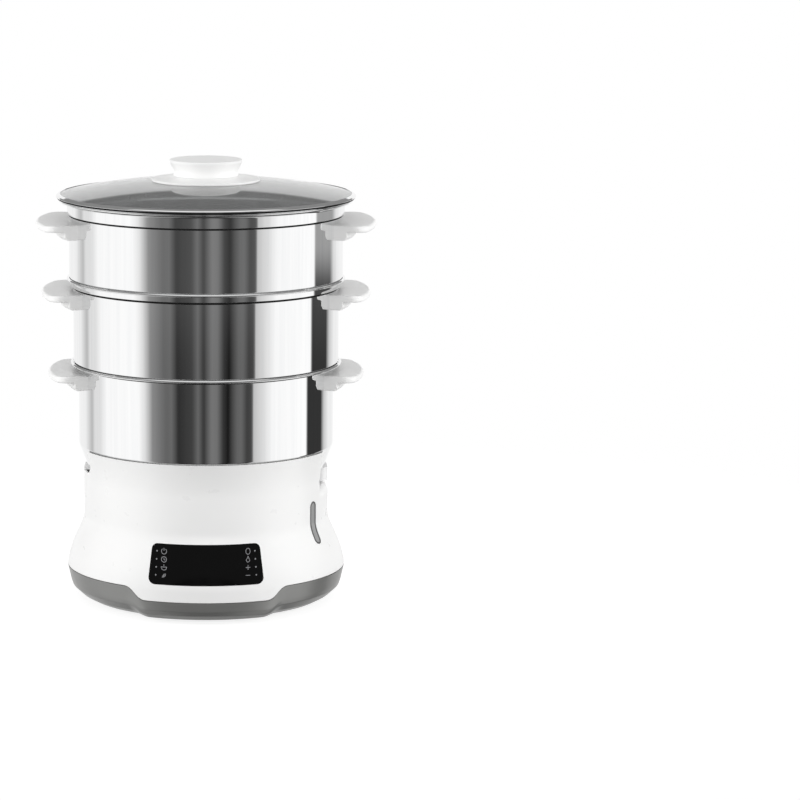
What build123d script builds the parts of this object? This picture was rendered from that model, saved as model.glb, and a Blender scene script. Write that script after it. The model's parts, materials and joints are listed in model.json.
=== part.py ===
from build123d import *
import os
from math import cos, hypot, pi, radians, sin, sqrt

# Electric food steamer, in millimetres. The origin is on the floor under the bowls' axis,
# +Z is up and the front, with the touch panel, faces -Y.
# Base: casing, water tank, heater, boards. Above it a juice tray, three steel bowls, each with
# a perforated tray, and a glass lid. Everything above the base lifts straight up.

# ------------------------------------------------------------------ fits and stock
seat_gap = 0.3            # between pieces that lift apart
fit_gap = 0.2             # round pieces that are set in an opening
sheet_t = 0.6             # steel sheet of the bowls
tray_t = 0.8              # steel sheet of the perforated trays
casing_t = 2.4            # wall of the plastic casing
cut_past = 10.0           # how far cutters run past what they cut

# ------------------------------------------------------------------ the two driving sizes
bowl_r = 126.8            # wall of the bottom bowl
ring_top_z = 156.6        # rim of the casing that carries the bottom bowl

# ------------------------------------------------------------------ casing
foot_h = 4.0
foot_r = 9.0
foot_stem_r = 3.0
foot_in = 23.0            # feet, inside the sole's edge
foot_count = 4
foot_chamfer = 1.2
ring_edge_out = 0.8       # rim's edge, past the bowl's wall
ring_foot_out = 2.0       # foot of the rim, past the casing's wall
ring_h = 16.6
ring_foot_h = 8.0         # slope from the rim's foot to the wall
neck_play = 0.6           # between the bottom bowl's neck and the wall's inner side
flare_top_z = 88.0
flare_mid_z = 65.0
flare_mid_out = 8.2
hem_out = 17.0            # widest line, where housing and skirt meet, past the wall
hem_z = 35.0
hem_front_z = 24.5        # the joint dips at the front
dip_half_w = 60.0         # half width of the dip's level stretch
dip_end_x = 81.0          # where the joint is back at its side height
crease_z = 20.0           # edge between the skirt's facet and its undercut
crease_in = 3.5           # the skirt's lines, inside its hem
knee_z = 15.7
knee_in = 5.0
undercut_z = 8.3
undercut_in = 13.0
sole_in = 21.0
lobe_half_angle = 26.5    # front lobe of the skirt, under the dip
lobe_crease_z = 14.8
lobe_mid_z = 9.5
lobe_mid_in = 3.0
lobe_sole_in = 11.0
floor_t = 2.5             # bottom plate of the skirt

# ------------------------------------------------------------------ notches and spout
notch_half_w = 48.0
notch_corner_r = 8.0
spout_drop = 0.3          # the right notch ends in a rounded filling spout, below the ledge
spout_rise = 10.0
spout_depth = 8.5
spout_drip = 2.0

# ------------------------------------------------------------------ water tank
tank_t = 2.5
tank_floor_z = 50.0       # underside of the tank's floor
tank_drop = 20.2          # from the top of the casing's wall to the tank's flange
tank_side_gap = 3.0       # between the tank's flange and the wall's inner side
tank_flange_w = 4.6
tank_narrowing = 16.0     # from the mouth's radius to the floor's
tank_gasket_t = 1.0
ledge_w = 4.6             # ledge inside the housing that carries the tank
steam_ring_out = 0.5      # past the clamp ring
steam_ring_t = 2.0
steam_ring_h = 25.0
steam_ring_inlets = 4
steam_inlet_w = 12.0
steam_inlet_h = 5.0

# ------------------------------------------------------------------ heater
heater_hole_r = 36.0
heater_seal_w = 6.0       # lap of the heater plate on the tank's floor
heater_plate_t = 1.5
heater_seal_t = 2.0
clamp_rim_w = 4.5         # clamp ring, outside its screws
clamp_ring_t = 2.0
seal_overlap = 1.5
clamp_screw_out = 5.5     # screws, outside the heater plate
clamp_screw_count = 4
element_in = 10.0         # element's line, inside the hole
element_tube_r = 3.3
element_gap = 36.0        # angle left open between the element's ends
element_pin_r = 2.0
element_pin_h = 9.0
thermostat_r = 8.0
thermostat_h = 8.0
fuse_r = 2.2
fuse_len = 14.0
fuse_y = -15.0
fuse_lead_r = 0.6
fuse_lead_len = 5.0
thermostat_tab_x = 4.0
tab_t = 0.8
tab_w = 6.3
tab_h = 7.0

# ------------------------------------------------------------------ power board
board_t = 1.6
power_board_w = 100.0
power_board_d = 62.0
power_board_gap = 29.0    # from its back edge to the cord clamp
power_boss_h = 9.5
power_hole_x = 44.0
power_hole_y = 25.0
relay_size = (19.0, 15.0, 15.0)
relay_at = (26.0, 8.0)    # places from the board's middle
capacitor_size = (18.0, 8.0, 14.0)
capacitor_at = (26.0, -12.0)
terminal_size = (30.0, 12.0, 13.0)
terminal_at = (-24.0, 18.0)
terminal_pole = 6.0
terminal_well_r = 2.2
component_fillet = 1.0

# ------------------------------------------------------------------ control panel and board
panel_top_z = 76.7
panel_low_z = 40.0
panel_top_half_w = 51.4
panel_low_half_w = 56.0
panel_corner_r = 6.0
panel_t = 1.6
control_board_w = 100.0
control_board_h = 30.0
control_board_in = 23.0   # behind the hem's front
control_board_z = 57.0
control_board_tilt = 19.6
control_hole_x = 36.0
control_hole_y = 11.0
control_boss_r = 3.2
touch_x = 46.0
touch_pitch = 7.0
touch_rows = 4
touch_spring_r = 2.4
touch_spring_t = 0.8
display_size = (56.0, 20.0, 8.0)
display_window = (62.0, 24.0)
buzzer_r = 6.0
buzzer_h = 5.0
buzzer_x = -28.0

# ------------------------------------------------------------------ level window
window_azimuth = 60.0     # from the front towards the right
window_w = 10.6
window_drop = 3.2         # below the tank's mouth
window_len = 42.0
window_neck_inset = 5.5
window_gasket_t = 1.0
window_gasket_w = 2.0

# ------------------------------------------------------------------ cord outlet
gland_z = 21.0
gland_r = 5.2
gland_flange_r = 8.0
gland_bore_r = 3.3
gland_out = 1.0           # outer end, past the hem
gland_len = 18.0
gland_flange_in = 9.0     # where the flange begins, inside the hem
clamp_gap = 14.0          # from the gland's inner end to the cord clamp
clamp_half_w = 11.0
clamp_bar = (30.0, 8.0, 3.0)
saddle_w = 13.0
vent_count = 9
vent_pitch = 8.0
vent_len = 26.0
vent_w = 3.2
wire_r = 1.3
wire_pair_x = 1.6
wire_entry = 2.0
wire_lead = 12.0
wire_stagger = 4.0
wire_bend_r = 8.0
heater_wire_bend_r = 4.0
ribbon_w = 24.0
ribbon_t = 0.8
ribbon_lap = 5.0
ribbon_turn_in = 26.0     # where it turns up, behind the control board
ribbon_bend_r = 7.0
ribbon_entry = 11.0

# ------------------------------------------------------------------ screws
screw_r = 1.5
screw_head_r = 3.2
screw_head_h = 2.0
thread_play = 0.05        # between a screw and the hole it is driven into
shank_play = 0.3          # between a screw and the hole it passes through
boss_r = 4.8
casing_screw_in = 7.6     # inside the wall's inner side
casing_screw_count = 4
casing_screw_azimuth = 45.0
casing_screw_len = 16.0
casing_seat_z = 10.0      # where the screw heads sit, sunk in the skirt
casing_boss_low_z = 20.0
casing_boss_rise = 28.0   # above the underside of the tank
rib_out = 8.0             # ends of the posts' ribs, past the wall
rib_h = 22.0
board_post_r = 3.6
board_screw_len = 8.0
control_screw_len = 7.0
clamp_screw_len = 6.0
clamp_post_r = 4.0

# ------------------------------------------------------------------ juice tray
juice_t = 1.8
juice_dish_h = 8.8        # its dish hangs in the tank's mouth
juice_dish_gap = 6.0
juice_side_gap = 3.0
juice_clear = 1.6         # under the bottom bowl
juice_flat_in = 15.5      # flat side, inside the filling spout, which it leaves open
chimney_r = 30.0
chimney_drop = 5.0        # below the tray's top edge
grip_half_w = 17.0
grip_in = 0.7             # grips' ends, inside the casing's outer side
grip_h = 13.2
grip_corner_r = 8.0

# ------------------------------------------------------------------ bowls
taper_h = 21.6            # tapered bottom that seats in what is below
taper_in = 7.8
neck_h = 1.4
ledge_in = 9.0            # ledge that carries the perforated tray
funnel_h = 8.0
lip_w = 1.5
handle_span = 23.3        # half angle round the wall
handle_plate_t = 6.5
handle_block_w = 14.0
handle_block_h = 8.4
handle_corner_r = 13.0
handle_edge_r = 2.6
handle_chamfer = 3.2
handle_screw_angle = 12.0
handle_screw_len = 10.0
handle_screw_head_h = 1.4
handle_screw_drop = 5.5    # below the grip plate
# name: how much wider it is than the bowl below, lip's reach past the wall, rise from its seat
# line to its lip, start of the taper above the seat line, drop from the lip to the handle's top,
# handle's reach past the wall
bowl_sizes = {
    "bottom": (0.0, 8.2, 87.6, 2.0, 11.7, 30.2),
    "middle": (5.2, 6.5, 80.5, 3.4, 11.7, 31.4),
    "top": (4.0, 10.5, 79.8, 0.5, 22.5, 32.5),
}
top_collar_out = 1.5      # the top bowl has a straight collar under its funnel
top_collar_h = 11.0
top_funnel_h = 6.0
top_step_h = 1.5

# ------------------------------------------------------------------ perforated trays
slot_len = 14.0
slot_w = 4.6
slot_ring_pitch = 16.0
slot_first_ring = 22.0
slot_spacing = 23.0       # along a ring
tray_margin = 9.0
tray_rim_h = 4.0

# ------------------------------------------------------------------ lid
lid_overhang = 2.2        # rim band, past the top bowl's lip
lid_dome_r = 800.0
glass_t = 3.2
glass_play = 0.1          # between the glass and its band
band_t = 0.4
band_w = 4.2
glass_hole_r = 5.0
collar_r = 54.0
collar_edge_t = 2.0
collar_top_h = 3.4        # above the glass at the knob's waist
knob_r = 36.0
knob_waist_r = 32.0
knob_h = 18.8             # above the collar
knob_dome = 2.8
knob_edge_h = 5.0
knob_taper_h = 5.6
knob_wall = 3.0
knob_boss_r = 8.0
knob_screw_r = 2.5
knob_screw_len = 20.0
knob_gasket_r = 33.0
knob_gasket_t = 3.0
knob_edge_round = 1.4
knob_washer_r = 9.0
knob_washer_t = 1.0
knob_head_r = 7.0
knob_head_h = 3.0

# ------------------------------------------------------------------ derived sizes
taper_slope = taper_in / taper_h
floor_z = foot_h + floor_t

inner_wall_r = bowl_r - taper_in + neck_play
wall_r = inner_wall_r + casing_t
ring_top_r = bowl_r + ring_edge_out
ring_foot_r = wall_r + ring_foot_out
ring_foot_z = ring_top_z - ring_h
wall_top_z = ring_foot_z - ring_foot_h
flare_mid_r = wall_r + flare_mid_out
hem_r = wall_r + hem_out
crease_r = hem_r - crease_in
knee_r = hem_r - knee_in
undercut_r = hem_r - undercut_in
sole_r = hem_r - sole_in
lobe_mid_r = hem_r - lobe_mid_in
lobe_sole_r = hem_r - lobe_sole_in
foot_ring_r = sole_r - foot_in
casing_screw_ring_r = inner_wall_r - casing_screw_in
casing_boss_top_z = tank_floor_z + casing_boss_rise
rib_len = wall_r + rib_out - casing_screw_ring_r

tank_flange_r = inner_wall_r - tank_side_gap
tank_mouth_r = tank_flange_r - tank_flange_w
tank_floor_r = tank_mouth_r - tank_narrowing
tank_top_z = wall_top_z - tank_drop
flange_low_z = tank_top_z - tank_t
ledge_top_z = flange_low_z - tank_gasket_t
spout_r = wall_r - spout_depth
spout_low_z = ledge_top_z - spout_drop
window_top_z = tank_top_z - window_drop
window_low_z = window_top_z - window_len
heater_plate_r = heater_hole_r + heater_seal_w
element_r = heater_hole_r - element_in
clamp_screw_ring_r = heater_plate_r + clamp_screw_out
clamp_ring_r = clamp_screw_ring_r + clamp_rim_w
steam_ring_r = clamp_ring_r + steam_ring_out
tank_slope = (tank_mouth_r - tank_floor_r) / (tank_top_z - tank_floor_z - tank_t)
plate_top_z = tank_floor_z - heater_seal_t
plate_low_z = plate_top_z - heater_plate_t
gland_out_y = hem_r + gland_out
gland_in_y = gland_out_y - gland_len
gland_flange_y = hem_r - gland_flange_in
clamp_y = gland_in_y - clamp_gap
power_board_y = clamp_y - power_board_gap - power_board_d / 2
power_board_z = floor_z + power_boss_h
power_top_z = power_board_z + board_t
control_board_y = hem_r - control_board_in
board_tilt_sin = sin(radians(control_board_tilt))
board_tilt_cos = cos(radians(control_board_tilt))
gland_plane = Plane(origin=(0, gland_in_y, gland_z), z_dir=(0, 1, 0))


class Bowl:
    """Sizes and heights of one bowl, worked out from what carries it."""

    def __init__(self, name, below_r, seat_z):
        self.name = name
        widening, lip_out, rise, reveal, drop, reach = bowl_sizes[name]
        self.body_r = below_r + widening
        self.lip_r = self.body_r + lip_out
        self.taper_z = seat_z + reveal
        self.lip_z = seat_z + rise
        self.neck_r = self.body_r - taper_in
        self.low_z = self.taper_z - taper_h - neck_h
        self.handle_z = self.lip_z - drop
        self.grip_r = self.body_r + reach

    def seat_radius(self, z):
        """Radius at height z of the cone that takes this bowl's taper, with its clearance."""
        return self.body_r - taper_slope * (self.taper_z - z) + seat_gap

    def floor_points(self):
        """Ledge, neck and taper, as (radius, height), from the ledge's free edge."""
        return [
            (self.neck_r - ledge_in, self.low_z),
            (self.neck_r, self.low_z),
            (self.neck_r, self.low_z + neck_h),
            (self.body_r, self.taper_z),
        ]


bottom = Bowl("bottom", bowl_r, ring_top_z)
middle = Bowl("middle", bottom.body_r, bottom.lip_z)
top = Bowl("top", middle.body_r, middle.lip_z)


def seated_rim(bowl, above):
    """Step, collar and funnel of a bowl that another bowl seats in."""
    funnel_z = bowl.lip_z - funnel_h
    collar_r = above.seat_radius(funnel_z) + sheet_t
    step_z = funnel_z - (collar_r - bowl.body_r) / taper_slope
    return [
        (bowl.body_r, step_z),
        (collar_r, funnel_z),
        (bowl.lip_r - lip_w, bowl.lip_z),
        (bowl.lip_r, bowl.lip_z),
    ]


def top_rim(bowl):
    """Collar and wide funnel of the top bowl, which takes the lid."""
    funnel_z = bowl.lip_z - top_funnel_h
    collar_z = funnel_z - top_collar_h
    collar_r = bowl.body_r + top_collar_out
    return [
        (bowl.body_r, collar_z - top_step_h),
        (collar_r, collar_z),
        (collar_r, funnel_z),
        (bowl.lip_r - lip_w, bowl.lip_z),
        (bowl.lip_r, bowl.lip_z),
    ]


bowl_walls = {
    "bottom": (bottom, bottom.floor_points() + seated_rim(bottom, middle)),
    "middle": (middle, middle.floor_points() + seated_rim(middle, top)),
    "top": (top, top.floor_points() + top_rim(top)),
}


# ------------------------------------------------------------------ shared operations
def outward(azimuth):
    """Unit vector in plan, `azimuth` degrees from the front (-Y) towards the right (+X)."""
    return Vector(sin(radians(azimuth)), -cos(radians(azimuth)), 0)


def radial_plane(azimuth):
    """Plane through the axis: local x runs outwards, local y is up."""
    return Plane(origin=(0, 0, 0), x_dir=outward(azimuth), z_dir=outward(azimuth - 90))


def facing_plane(azimuth):
    """Plane through the axis that faces outwards: local x is tangential, local y is up."""
    return Plane(origin=(0, 0, 0), x_dir=outward(azimuth + 90), z_dir=outward(azimuth))


def spin(points, azimuth=0.0, arc=360.0, mode=Mode.ADD):
    """Turn a closed (radius, height) outline about the vertical axis."""
    with BuildSketch(radial_plane(azimuth)) as section:
        with BuildLine():
            Polyline(*points, close=True)
        make_face()
    revolve(section.sketch, axis=Axis.Z, revolution_arc=arc, mode=mode)


def ring(r_in, r_out, z_low, z_high, mode=Mode.ADD):
    """Flat ring or, with r_in of 0, a disc."""
    spin([(r_in, z_low), (r_out, z_low), (r_out, z_high), (r_in, z_high)], mode=mode)


def post(x, y, z_low, z_high, radius, mode=Mode.ADD):
    """Upright cylinder."""
    with Locations((x, y, z_low)):
        Cylinder(radius, z_high - z_low, align=(Align.CENTER, Align.CENTER, Align.MIN), mode=mode)


def screw(place, length, shank_r=screw_r, head_r=screw_head_r, head_h=screw_head_h):
    """Pan head screw: the shank runs along the place's z axis from the head's seat."""
    with Locations(place):
        Cylinder(shank_r, length, align=(Align.CENTER, Align.CENTER, Align.MIN))
        Cylinder(head_r, head_h, align=(Align.CENTER, Align.CENTER, Align.MAX))


def block(size, centre_xy, z_low):
    """Upright box on a flat face."""
    with Locations((centre_xy[0], centre_xy[1], z_low)):
        Box(*size, align=(Align.CENTER, Align.CENTER, Align.MIN))


def tube(points, radius, corner_r):
    """Wire along straight runs joined by tangent arcs."""
    with BuildLine() as route:
        FilletPolyline(*points, radius=corner_r)
    start = route.line @ 0
    with BuildSketch(Plane(origin=start, z_dir=route.line % 0)) as section:
        Circle(radius)
    sweep(section.sketch, path=route.line)


def ring_places(radius, count, first):
    """Points on a circle, the first at the azimuth `first`."""
    return [outward(first + 360.0 * k / count) * radius for k in range(count)]


def save(part, name):
    """Label a finished piece and write its STEP file."""
    part.part.label = name
    export_step(part.part, os.path.join("parts", name + ".step"))


os.makedirs("parts", exist_ok=True)


# ------------------------------------------------------------------ forms that pieces are cut with
def casing_form(inset, top_points):
    """Solid with the housing's outer shape, moved inwards by `inset`, closed by `top_points`."""
    with BuildPart() as form:
        with BuildSketch(radial_plane(0)):
            with BuildLine():
                upper = Polyline((0, top_points[0][1]), *top_points, (wall_r - inset, flare_top_z))
                flare = Spline(
                    upper @ 1,
                    (flare_mid_r - inset, flare_mid_z),
                    (hem_r - inset, hem_z),
                    tangents=((0, -1), (0.1, -1)),
                )
                Polyline(flare @ 1, (hem_r - inset, crease_z), (0, crease_z), upper @ 0)
            make_face()
        revolve(axis=Axis.Z)
    return form.part


def outer_top(inset):
    """Outer side of the rim and the wall below it."""
    return [
        (ring_top_r - inset, ring_top_z),
        (ring_foot_r - inset, ring_foot_z),
        (wall_r - inset, wall_top_z),
    ]


seat_foot_z = bottom.taper_z - (bottom.body_r + seat_gap - inner_wall_r) / taper_slope
housing_form = casing_form(0, outer_top(0))
panel_back_form = casing_form(panel_t, outer_top(panel_t))
spring_limit_form = casing_form(panel_t + fit_gap, outer_top(panel_t + fit_gap))
housing_hollow = casing_form(
    casing_t, [(bottom.seat_radius(ring_top_z), ring_top_z), (inner_wall_r, seat_foot_z)]
)


def side_prism(sign, low_z, corner_r=0):
    """Cutter for the notch at the right (+1) or left (-1) side, open at the top."""
    top_z = ring_top_z + cut_past
    with BuildPart() as prism:
        with BuildSketch(facing_plane(90 * sign).offset(spout_r - cut_past)):
            with Locations((0, (low_z + top_z) / 2)):
                Rectangle(2 * notch_half_w, top_z - low_z)
            if corner_r:
                fillet(vertices().group_by(Axis.Z)[0], corner_r)
        extrude(amount=hem_r - spout_r + cut_past)
    return prism.part


def panel_prism(grow):
    """Cutter with the touch panel's outline, seen from the front."""
    with BuildPart() as prism:
        with BuildSketch(Plane.XZ):
            with BuildLine():
                Polyline(
                    (-panel_low_half_w, panel_low_z),
                    (panel_low_half_w, panel_low_z),
                    (panel_top_half_w, panel_top_z),
                    (-panel_top_half_w, panel_top_z),
                    close=True,
                )
            make_face()
            fillet(vertices(), panel_corner_r)
            if grow:
                offset(amount=grow)
        extrude(amount=hem_r + cut_past)
    return prism.part


def window_prism(grow, inset=0.0):
    """Cutter with the level window's outline, on the azimuth of the window."""
    height = window_top_z - window_low_z - 2 * inset + 2 * grow
    with BuildPart() as prism:
        with BuildSketch(facing_plane(window_azimuth).offset(tank_floor_r - 2 * cut_past)):
            with Locations((0, (window_low_z + window_top_z) / 2)):
                SlotOverall(height, window_w + 2 * grow, rotation=90)
        extrude(amount=hem_r - tank_floor_r + 2 * cut_past)
    return prism.part


def skirt_space():
    """Everything below the joint between housing and skirt, with its dip at the front."""
    reach = hem_r + cut_past
    bend = (dip_end_x - dip_half_w) / 2
    with BuildPart() as space:
        with BuildSketch(Plane.XZ):
            with BuildLine():
                Line((-reach, hem_z), (-dip_end_x, hem_z))
                Bezier(
                    (-dip_end_x, hem_z), (bend - dip_end_x, hem_z),
                    (-dip_half_w - bend, hem_front_z), (-dip_half_w, hem_front_z),
                )
                Line((-dip_half_w, hem_front_z), (dip_half_w, hem_front_z))
                Bezier(
                    (dip_half_w, hem_front_z), (dip_half_w + bend, hem_front_z),
                    (dip_end_x - bend, hem_z), (dip_end_x, hem_z),
                )
                Polyline((dip_end_x, hem_z), (reach, hem_z), (reach, 0), (-reach, 0), (-reach, hem_z))
            make_face()
        extrude(amount=reach)
        with Locations((0, 0, 0)):
            Box(2 * reach, reach, hem_z, align=(Align.CENTER, Align.MIN, Align.MIN))
    return space.part


def tank_form(grow):
    """Solid with the tank's outer wall, grown outwards by `grow`."""
    outer_r = tank_floor_r + tank_t + grow
    with BuildPart() as form:
        spin([
            (0, tank_floor_z),
            (outer_r, tank_floor_z),
            (outer_r + tank_slope * (tank_top_z - tank_floor_z), tank_top_z),
            (0, tank_top_z),
        ])
    return form.part


left_notch = side_prism(-1, wall_top_z, notch_corner_r)
right_notch = side_prism(1, spout_low_z)
skirt_zone = skirt_space()

with BuildPart() as spout:
    with BuildSketch(radial_plane(90 - 30)):
        with BuildLine():
            hub = (spout_r, spout_low_z)
            over = EllipticalCenterArc(hub, spout_depth, spout_rise, start_angle=0, arc_size=90)
            under = EllipticalCenterArc(
                hub, spout_depth - casing_t, spout_rise - casing_t, start_angle=0, arc_size=90
            )
            Line(over @ 0, under @ 0)
            Polyline(
                over @ 1,
                (spout_r - spout_drip, spout_low_z + spout_rise),
                (spout_r - spout_drip, spout_low_z + spout_rise - casing_t),
                under @ 1,
            )
        make_face()
    revolve(axis=Axis.Z, revolution_arc=60)
    with Locations((spout_r, 0, spout_low_z)):
        Box(4 * spout_rise, 2 * (notch_half_w + casing_t), 4 * spout_rise, mode=Mode.INTERSECT)

# ------------------------------------------------------------------ casing pieces
board_plane = Plane(
    origin=(0, -control_board_y, control_board_z),
    x_dir=(1, 0, 0),
    z_dir=(0, -board_tilt_cos, board_tilt_sin),
)
board_holes = [(x, y) for x in (-control_hole_x, control_hole_x) for y in (-control_hole_y, control_hole_y)]
touch_places = [
    (x, touch_pitch * (k - (touch_rows - 1) / 2)) for x in (-touch_x, touch_x) for k in range(touch_rows)
]
board_to_wall = hem_r - control_board_y
casing_posts = ring_places(casing_screw_ring_r, casing_screw_count, casing_screw_azimuth)
foot_places = ring_places(foot_ring_r, foot_count, 45)
power_holes = [
    (x, power_board_y + y) for x in (-power_hole_x, power_hole_x) for y in (-power_hole_y, power_hole_y)
]

with BuildPart() as control_panel:
    add(panel_prism(0))
    add(housing_form, mode=Mode.INTERSECT)
    add(panel_back_form, mode=Mode.SUBTRACT)
save(control_panel, "control_panel")

with BuildPart() as base_housing:
    add(housing_form)
    add(housing_hollow, mode=Mode.SUBTRACT)
    # ledge that carries the tank, ribs to the screw posts, and posts for the control board
    ring(inner_wall_r - ledge_w, inner_wall_r + casing_t / 2, ledge_top_z - casing_t, ledge_top_z)
    for k in range(casing_screw_count):
        azimuth = casing_screw_azimuth + 360.0 * k / casing_screw_count
        centre = outward(azimuth) * (casing_screw_ring_r + rib_len / 2)
        with Locations(Location((centre.X, centre.Y, casing_boss_top_z), (0, 0, azimuth - 90))):
            Box(rib_len, casing_t, rib_h, align=(Align.CENTER, Align.CENTER, Align.MAX))
    with BuildSketch(board_plane):
        with Locations(*board_holes):
            Circle(control_boss_r)
    extrude(amount=board_to_wall)
    add(housing_form, mode=Mode.INTERSECT)
    add(skirt_zone, mode=Mode.SUBTRACT)
    # notches, with the filling spout in the right one
    add(left_notch, mode=Mode.SUBTRACT)
    add(right_notch, mode=Mode.SUBTRACT)
    add(spout.part)
    # places for the touch panel, its springs, the display and the level window
    add(control_panel.part, mode=Mode.SUBTRACT)
    with BuildSketch(board_plane):
        Rectangle(*display_window)
        with Locations(*touch_places):
            Circle(touch_spring_r + shank_play)
    extrude(amount=board_to_wall, mode=Mode.SUBTRACT)
    with BuildSketch(board_plane):
        with Locations(*board_holes):
            Circle(screw_r + thread_play)
    extrude(amount=control_screw_len, mode=Mode.SUBTRACT)
    add(window_prism(0), mode=Mode.SUBTRACT)
    # posts for the casing screws
    for place in casing_posts:
        post(place.X, place.Y, casing_boss_low_z, casing_boss_top_z, boss_r)
        post(
            place.X, place.Y, casing_boss_low_z, casing_seat_z + casing_screw_len + 1,
            screw_r + thread_play, mode=Mode.SUBTRACT,
        )
save(base_housing, "base_housing")

with BuildPart() as skirt_form:
    spin([
        (0, foot_h),
        (sole_r, foot_h),
        (undercut_r, undercut_z),
        (knee_r, knee_z),
        (crease_r, crease_z),
        (hem_r, hem_z),
        (0, hem_z),
    ])
    spin(
        [
            (sole_r - casing_t, foot_h),
            (lobe_sole_r, foot_h),
            (lobe_mid_r, lobe_mid_z),
            (hem_r, lobe_crease_z),
            (hem_r, hem_front_z),
            (sole_r - casing_t, hem_front_z),
        ],
        azimuth=-lobe_half_angle,
        arc=2 * lobe_half_angle,
    )

with BuildPart() as base_skirt:
    add(skirt_form.part)
    spin(
        [
            (0, floor_z),
            (sole_r - casing_t, floor_z),
            (undercut_r - casing_t, undercut_z + floor_t),
            (knee_r - casing_t, knee_z + casing_t / 2),
            (crease_r - casing_t, crease_z),
            (hem_r - casing_t, hem_z),
            (0, hem_z),
        ],
        mode=Mode.SUBTRACT,
    )
    spin(
        [
            (sole_r - 2 * casing_t, floor_z),
            (lobe_sole_r - casing_t, floor_z),
            (lobe_mid_r - casing_t, lobe_mid_z + casing_t),
            (hem_r - casing_t, lobe_crease_z + casing_t / 2),
            (hem_r - casing_t, hem_front_z),
            (sole_r - 2 * casing_t, hem_front_z),
        ],
        azimuth=1 - lobe_half_angle,
        arc=2 * lobe_half_angle - 2,
        mode=Mode.SUBTRACT,
    )
    add(skirt_zone, mode=Mode.INTERSECT)
    # posts: casing screws, power board, cord clamp, and the saddle under the cord
    for place in casing_posts:
        post(place.X, place.Y, foot_h, casing_boss_low_z, boss_r)
        post(place.X, place.Y, foot_h, casing_seat_z, screw_head_r + shank_play, mode=Mode.SUBTRACT)
        post(place.X, place.Y, foot_h, casing_boss_low_z, screw_r + shank_play, mode=Mode.SUBTRACT)
    for x, y in power_holes:
        post(x, y, foot_h, power_board_z, board_post_r)
        post(x, y, floor_z, power_board_z, screw_r + thread_play, mode=Mode.SUBTRACT)
    for x in (-clamp_half_w, clamp_half_w):
        post(x, clamp_y, foot_h, gland_z + gland_bore_r, board_post_r)
        post(x, clamp_y, floor_z, gland_z + gland_bore_r, screw_r + thread_play, mode=Mode.SUBTRACT)
    block((saddle_w, clamp_bar[1], gland_z - gland_bore_r - foot_h), (0, clamp_y), foot_h)
    # holes: feet, cord gland, vents
    for place in foot_places:
        post(place.X, place.Y, foot_h, floor_z, foot_stem_r + thread_play, mode=Mode.SUBTRACT)
    with BuildSketch(gland_plane):
        Circle(gland_r + thread_play)
    extrude(amount=gland_out_y - gland_in_y, mode=Mode.SUBTRACT)
    with BuildSketch(Plane.XY.offset(foot_h)):
        with GridLocations(vent_pitch, 0, vent_count, 1):
            SlotOverall(vent_len, vent_w, rotation=90)
    extrude(amount=floor_t, mode=Mode.SUBTRACT)
save(base_skirt, "base_skirt")

with BuildPart() as rubber_feet:
    for place in foot_places:
        with Locations((place.X, place.Y, 0)):
            Cone(
                foot_r - foot_chamfer, foot_r, foot_chamfer,
                align=(Align.CENTER, Align.CENTER, Align.MIN),
            )
        post(place.X, place.Y, foot_chamfer, foot_h, foot_r)
        post(place.X, place.Y, foot_h, floor_z + foot_chamfer, foot_stem_r)
save(rubber_feet, "rubber_feet")

with BuildPart() as casing_screws:
    for place in casing_posts:
        screw(Location((place.X, place.Y, casing_seat_z)), casing_screw_len)
save(casing_screws, "casing_screws")

# ------------------------------------------------------------------ tank and heater
clamp_places = ring_places(clamp_screw_ring_r, clamp_screw_count, 45)
window_bore = window_prism(-fit_gap - window_gasket_w, inset=window_neck_inset)

with BuildPart() as water_tank:
    add(tank_form(0))
    ring(tank_mouth_r - tank_t, tank_flange_r, flange_low_z, tank_top_z)
    spin(
        [
            (0, tank_floor_z + tank_t),
            (tank_floor_r, tank_floor_z + tank_t),
            (tank_mouth_r, tank_top_z),
            (0, tank_top_z),
        ],
        mode=Mode.SUBTRACT,
    )
    ring(0, heater_hole_r, tank_floor_z, tank_floor_z + tank_t, mode=Mode.SUBTRACT)
    for place in clamp_places:
        post(place.X, place.Y, plate_low_z, tank_floor_z + tank_t / 2, clamp_post_r)
        post(
            place.X, place.Y, plate_low_z, tank_floor_z + tank_t / 2,
            screw_r + thread_play, mode=Mode.SUBTRACT,
        )
    add(window_bore, mode=Mode.SUBTRACT)
save(water_tank, "water_tank")

with BuildPart() as tank_gasket:
    ring(inner_wall_r - ledge_w + fit_gap, tank_flange_r, ledge_top_z, flange_low_z)
save(tank_gasket, "tank_gasket")

with BuildPart() as steam_ring:
    base_z = tank_floor_z + tank_t
    ring(steam_ring_r - steam_ring_t, steam_ring_r, base_z, base_z + steam_ring_h)
    with PolarLocations(steam_ring_r, steam_ring_inlets):
        Box(
            4 * steam_ring_t, steam_inlet_w, 2 * (base_z + steam_inlet_h),
            mode=Mode.SUBTRACT,
        )
save(steam_ring, "steam_ring")

with BuildPart() as heater_plate:
    ring(0, heater_plate_r, plate_low_z, plate_top_z)
save(heater_plate, "heater_plate")

with BuildPart() as heater_seal:
    ring(heater_hole_r + fit_gap, heater_plate_r - fit_gap, plate_top_z, tank_floor_z)
save(heater_seal, "heater_seal")

with BuildPart() as heater_clamp_ring:
    ring(heater_hole_r - seal_overlap, clamp_ring_r, plate_low_z - clamp_ring_t, plate_low_z)
    for place in clamp_places:
        post(
            place.X, place.Y, plate_low_z - clamp_ring_t, plate_low_z,
            screw_r + shank_play, mode=Mode.SUBTRACT,
        )
save(heater_clamp_ring, "heater_clamp_ring")

with BuildPart() as heater_clamp_screws:
    for place in clamp_places:
        screw(Location((place.X, place.Y, plate_low_z - clamp_ring_t)), clamp_screw_len)
save(heater_clamp_screws, "heater_clamp_screws")

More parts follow.
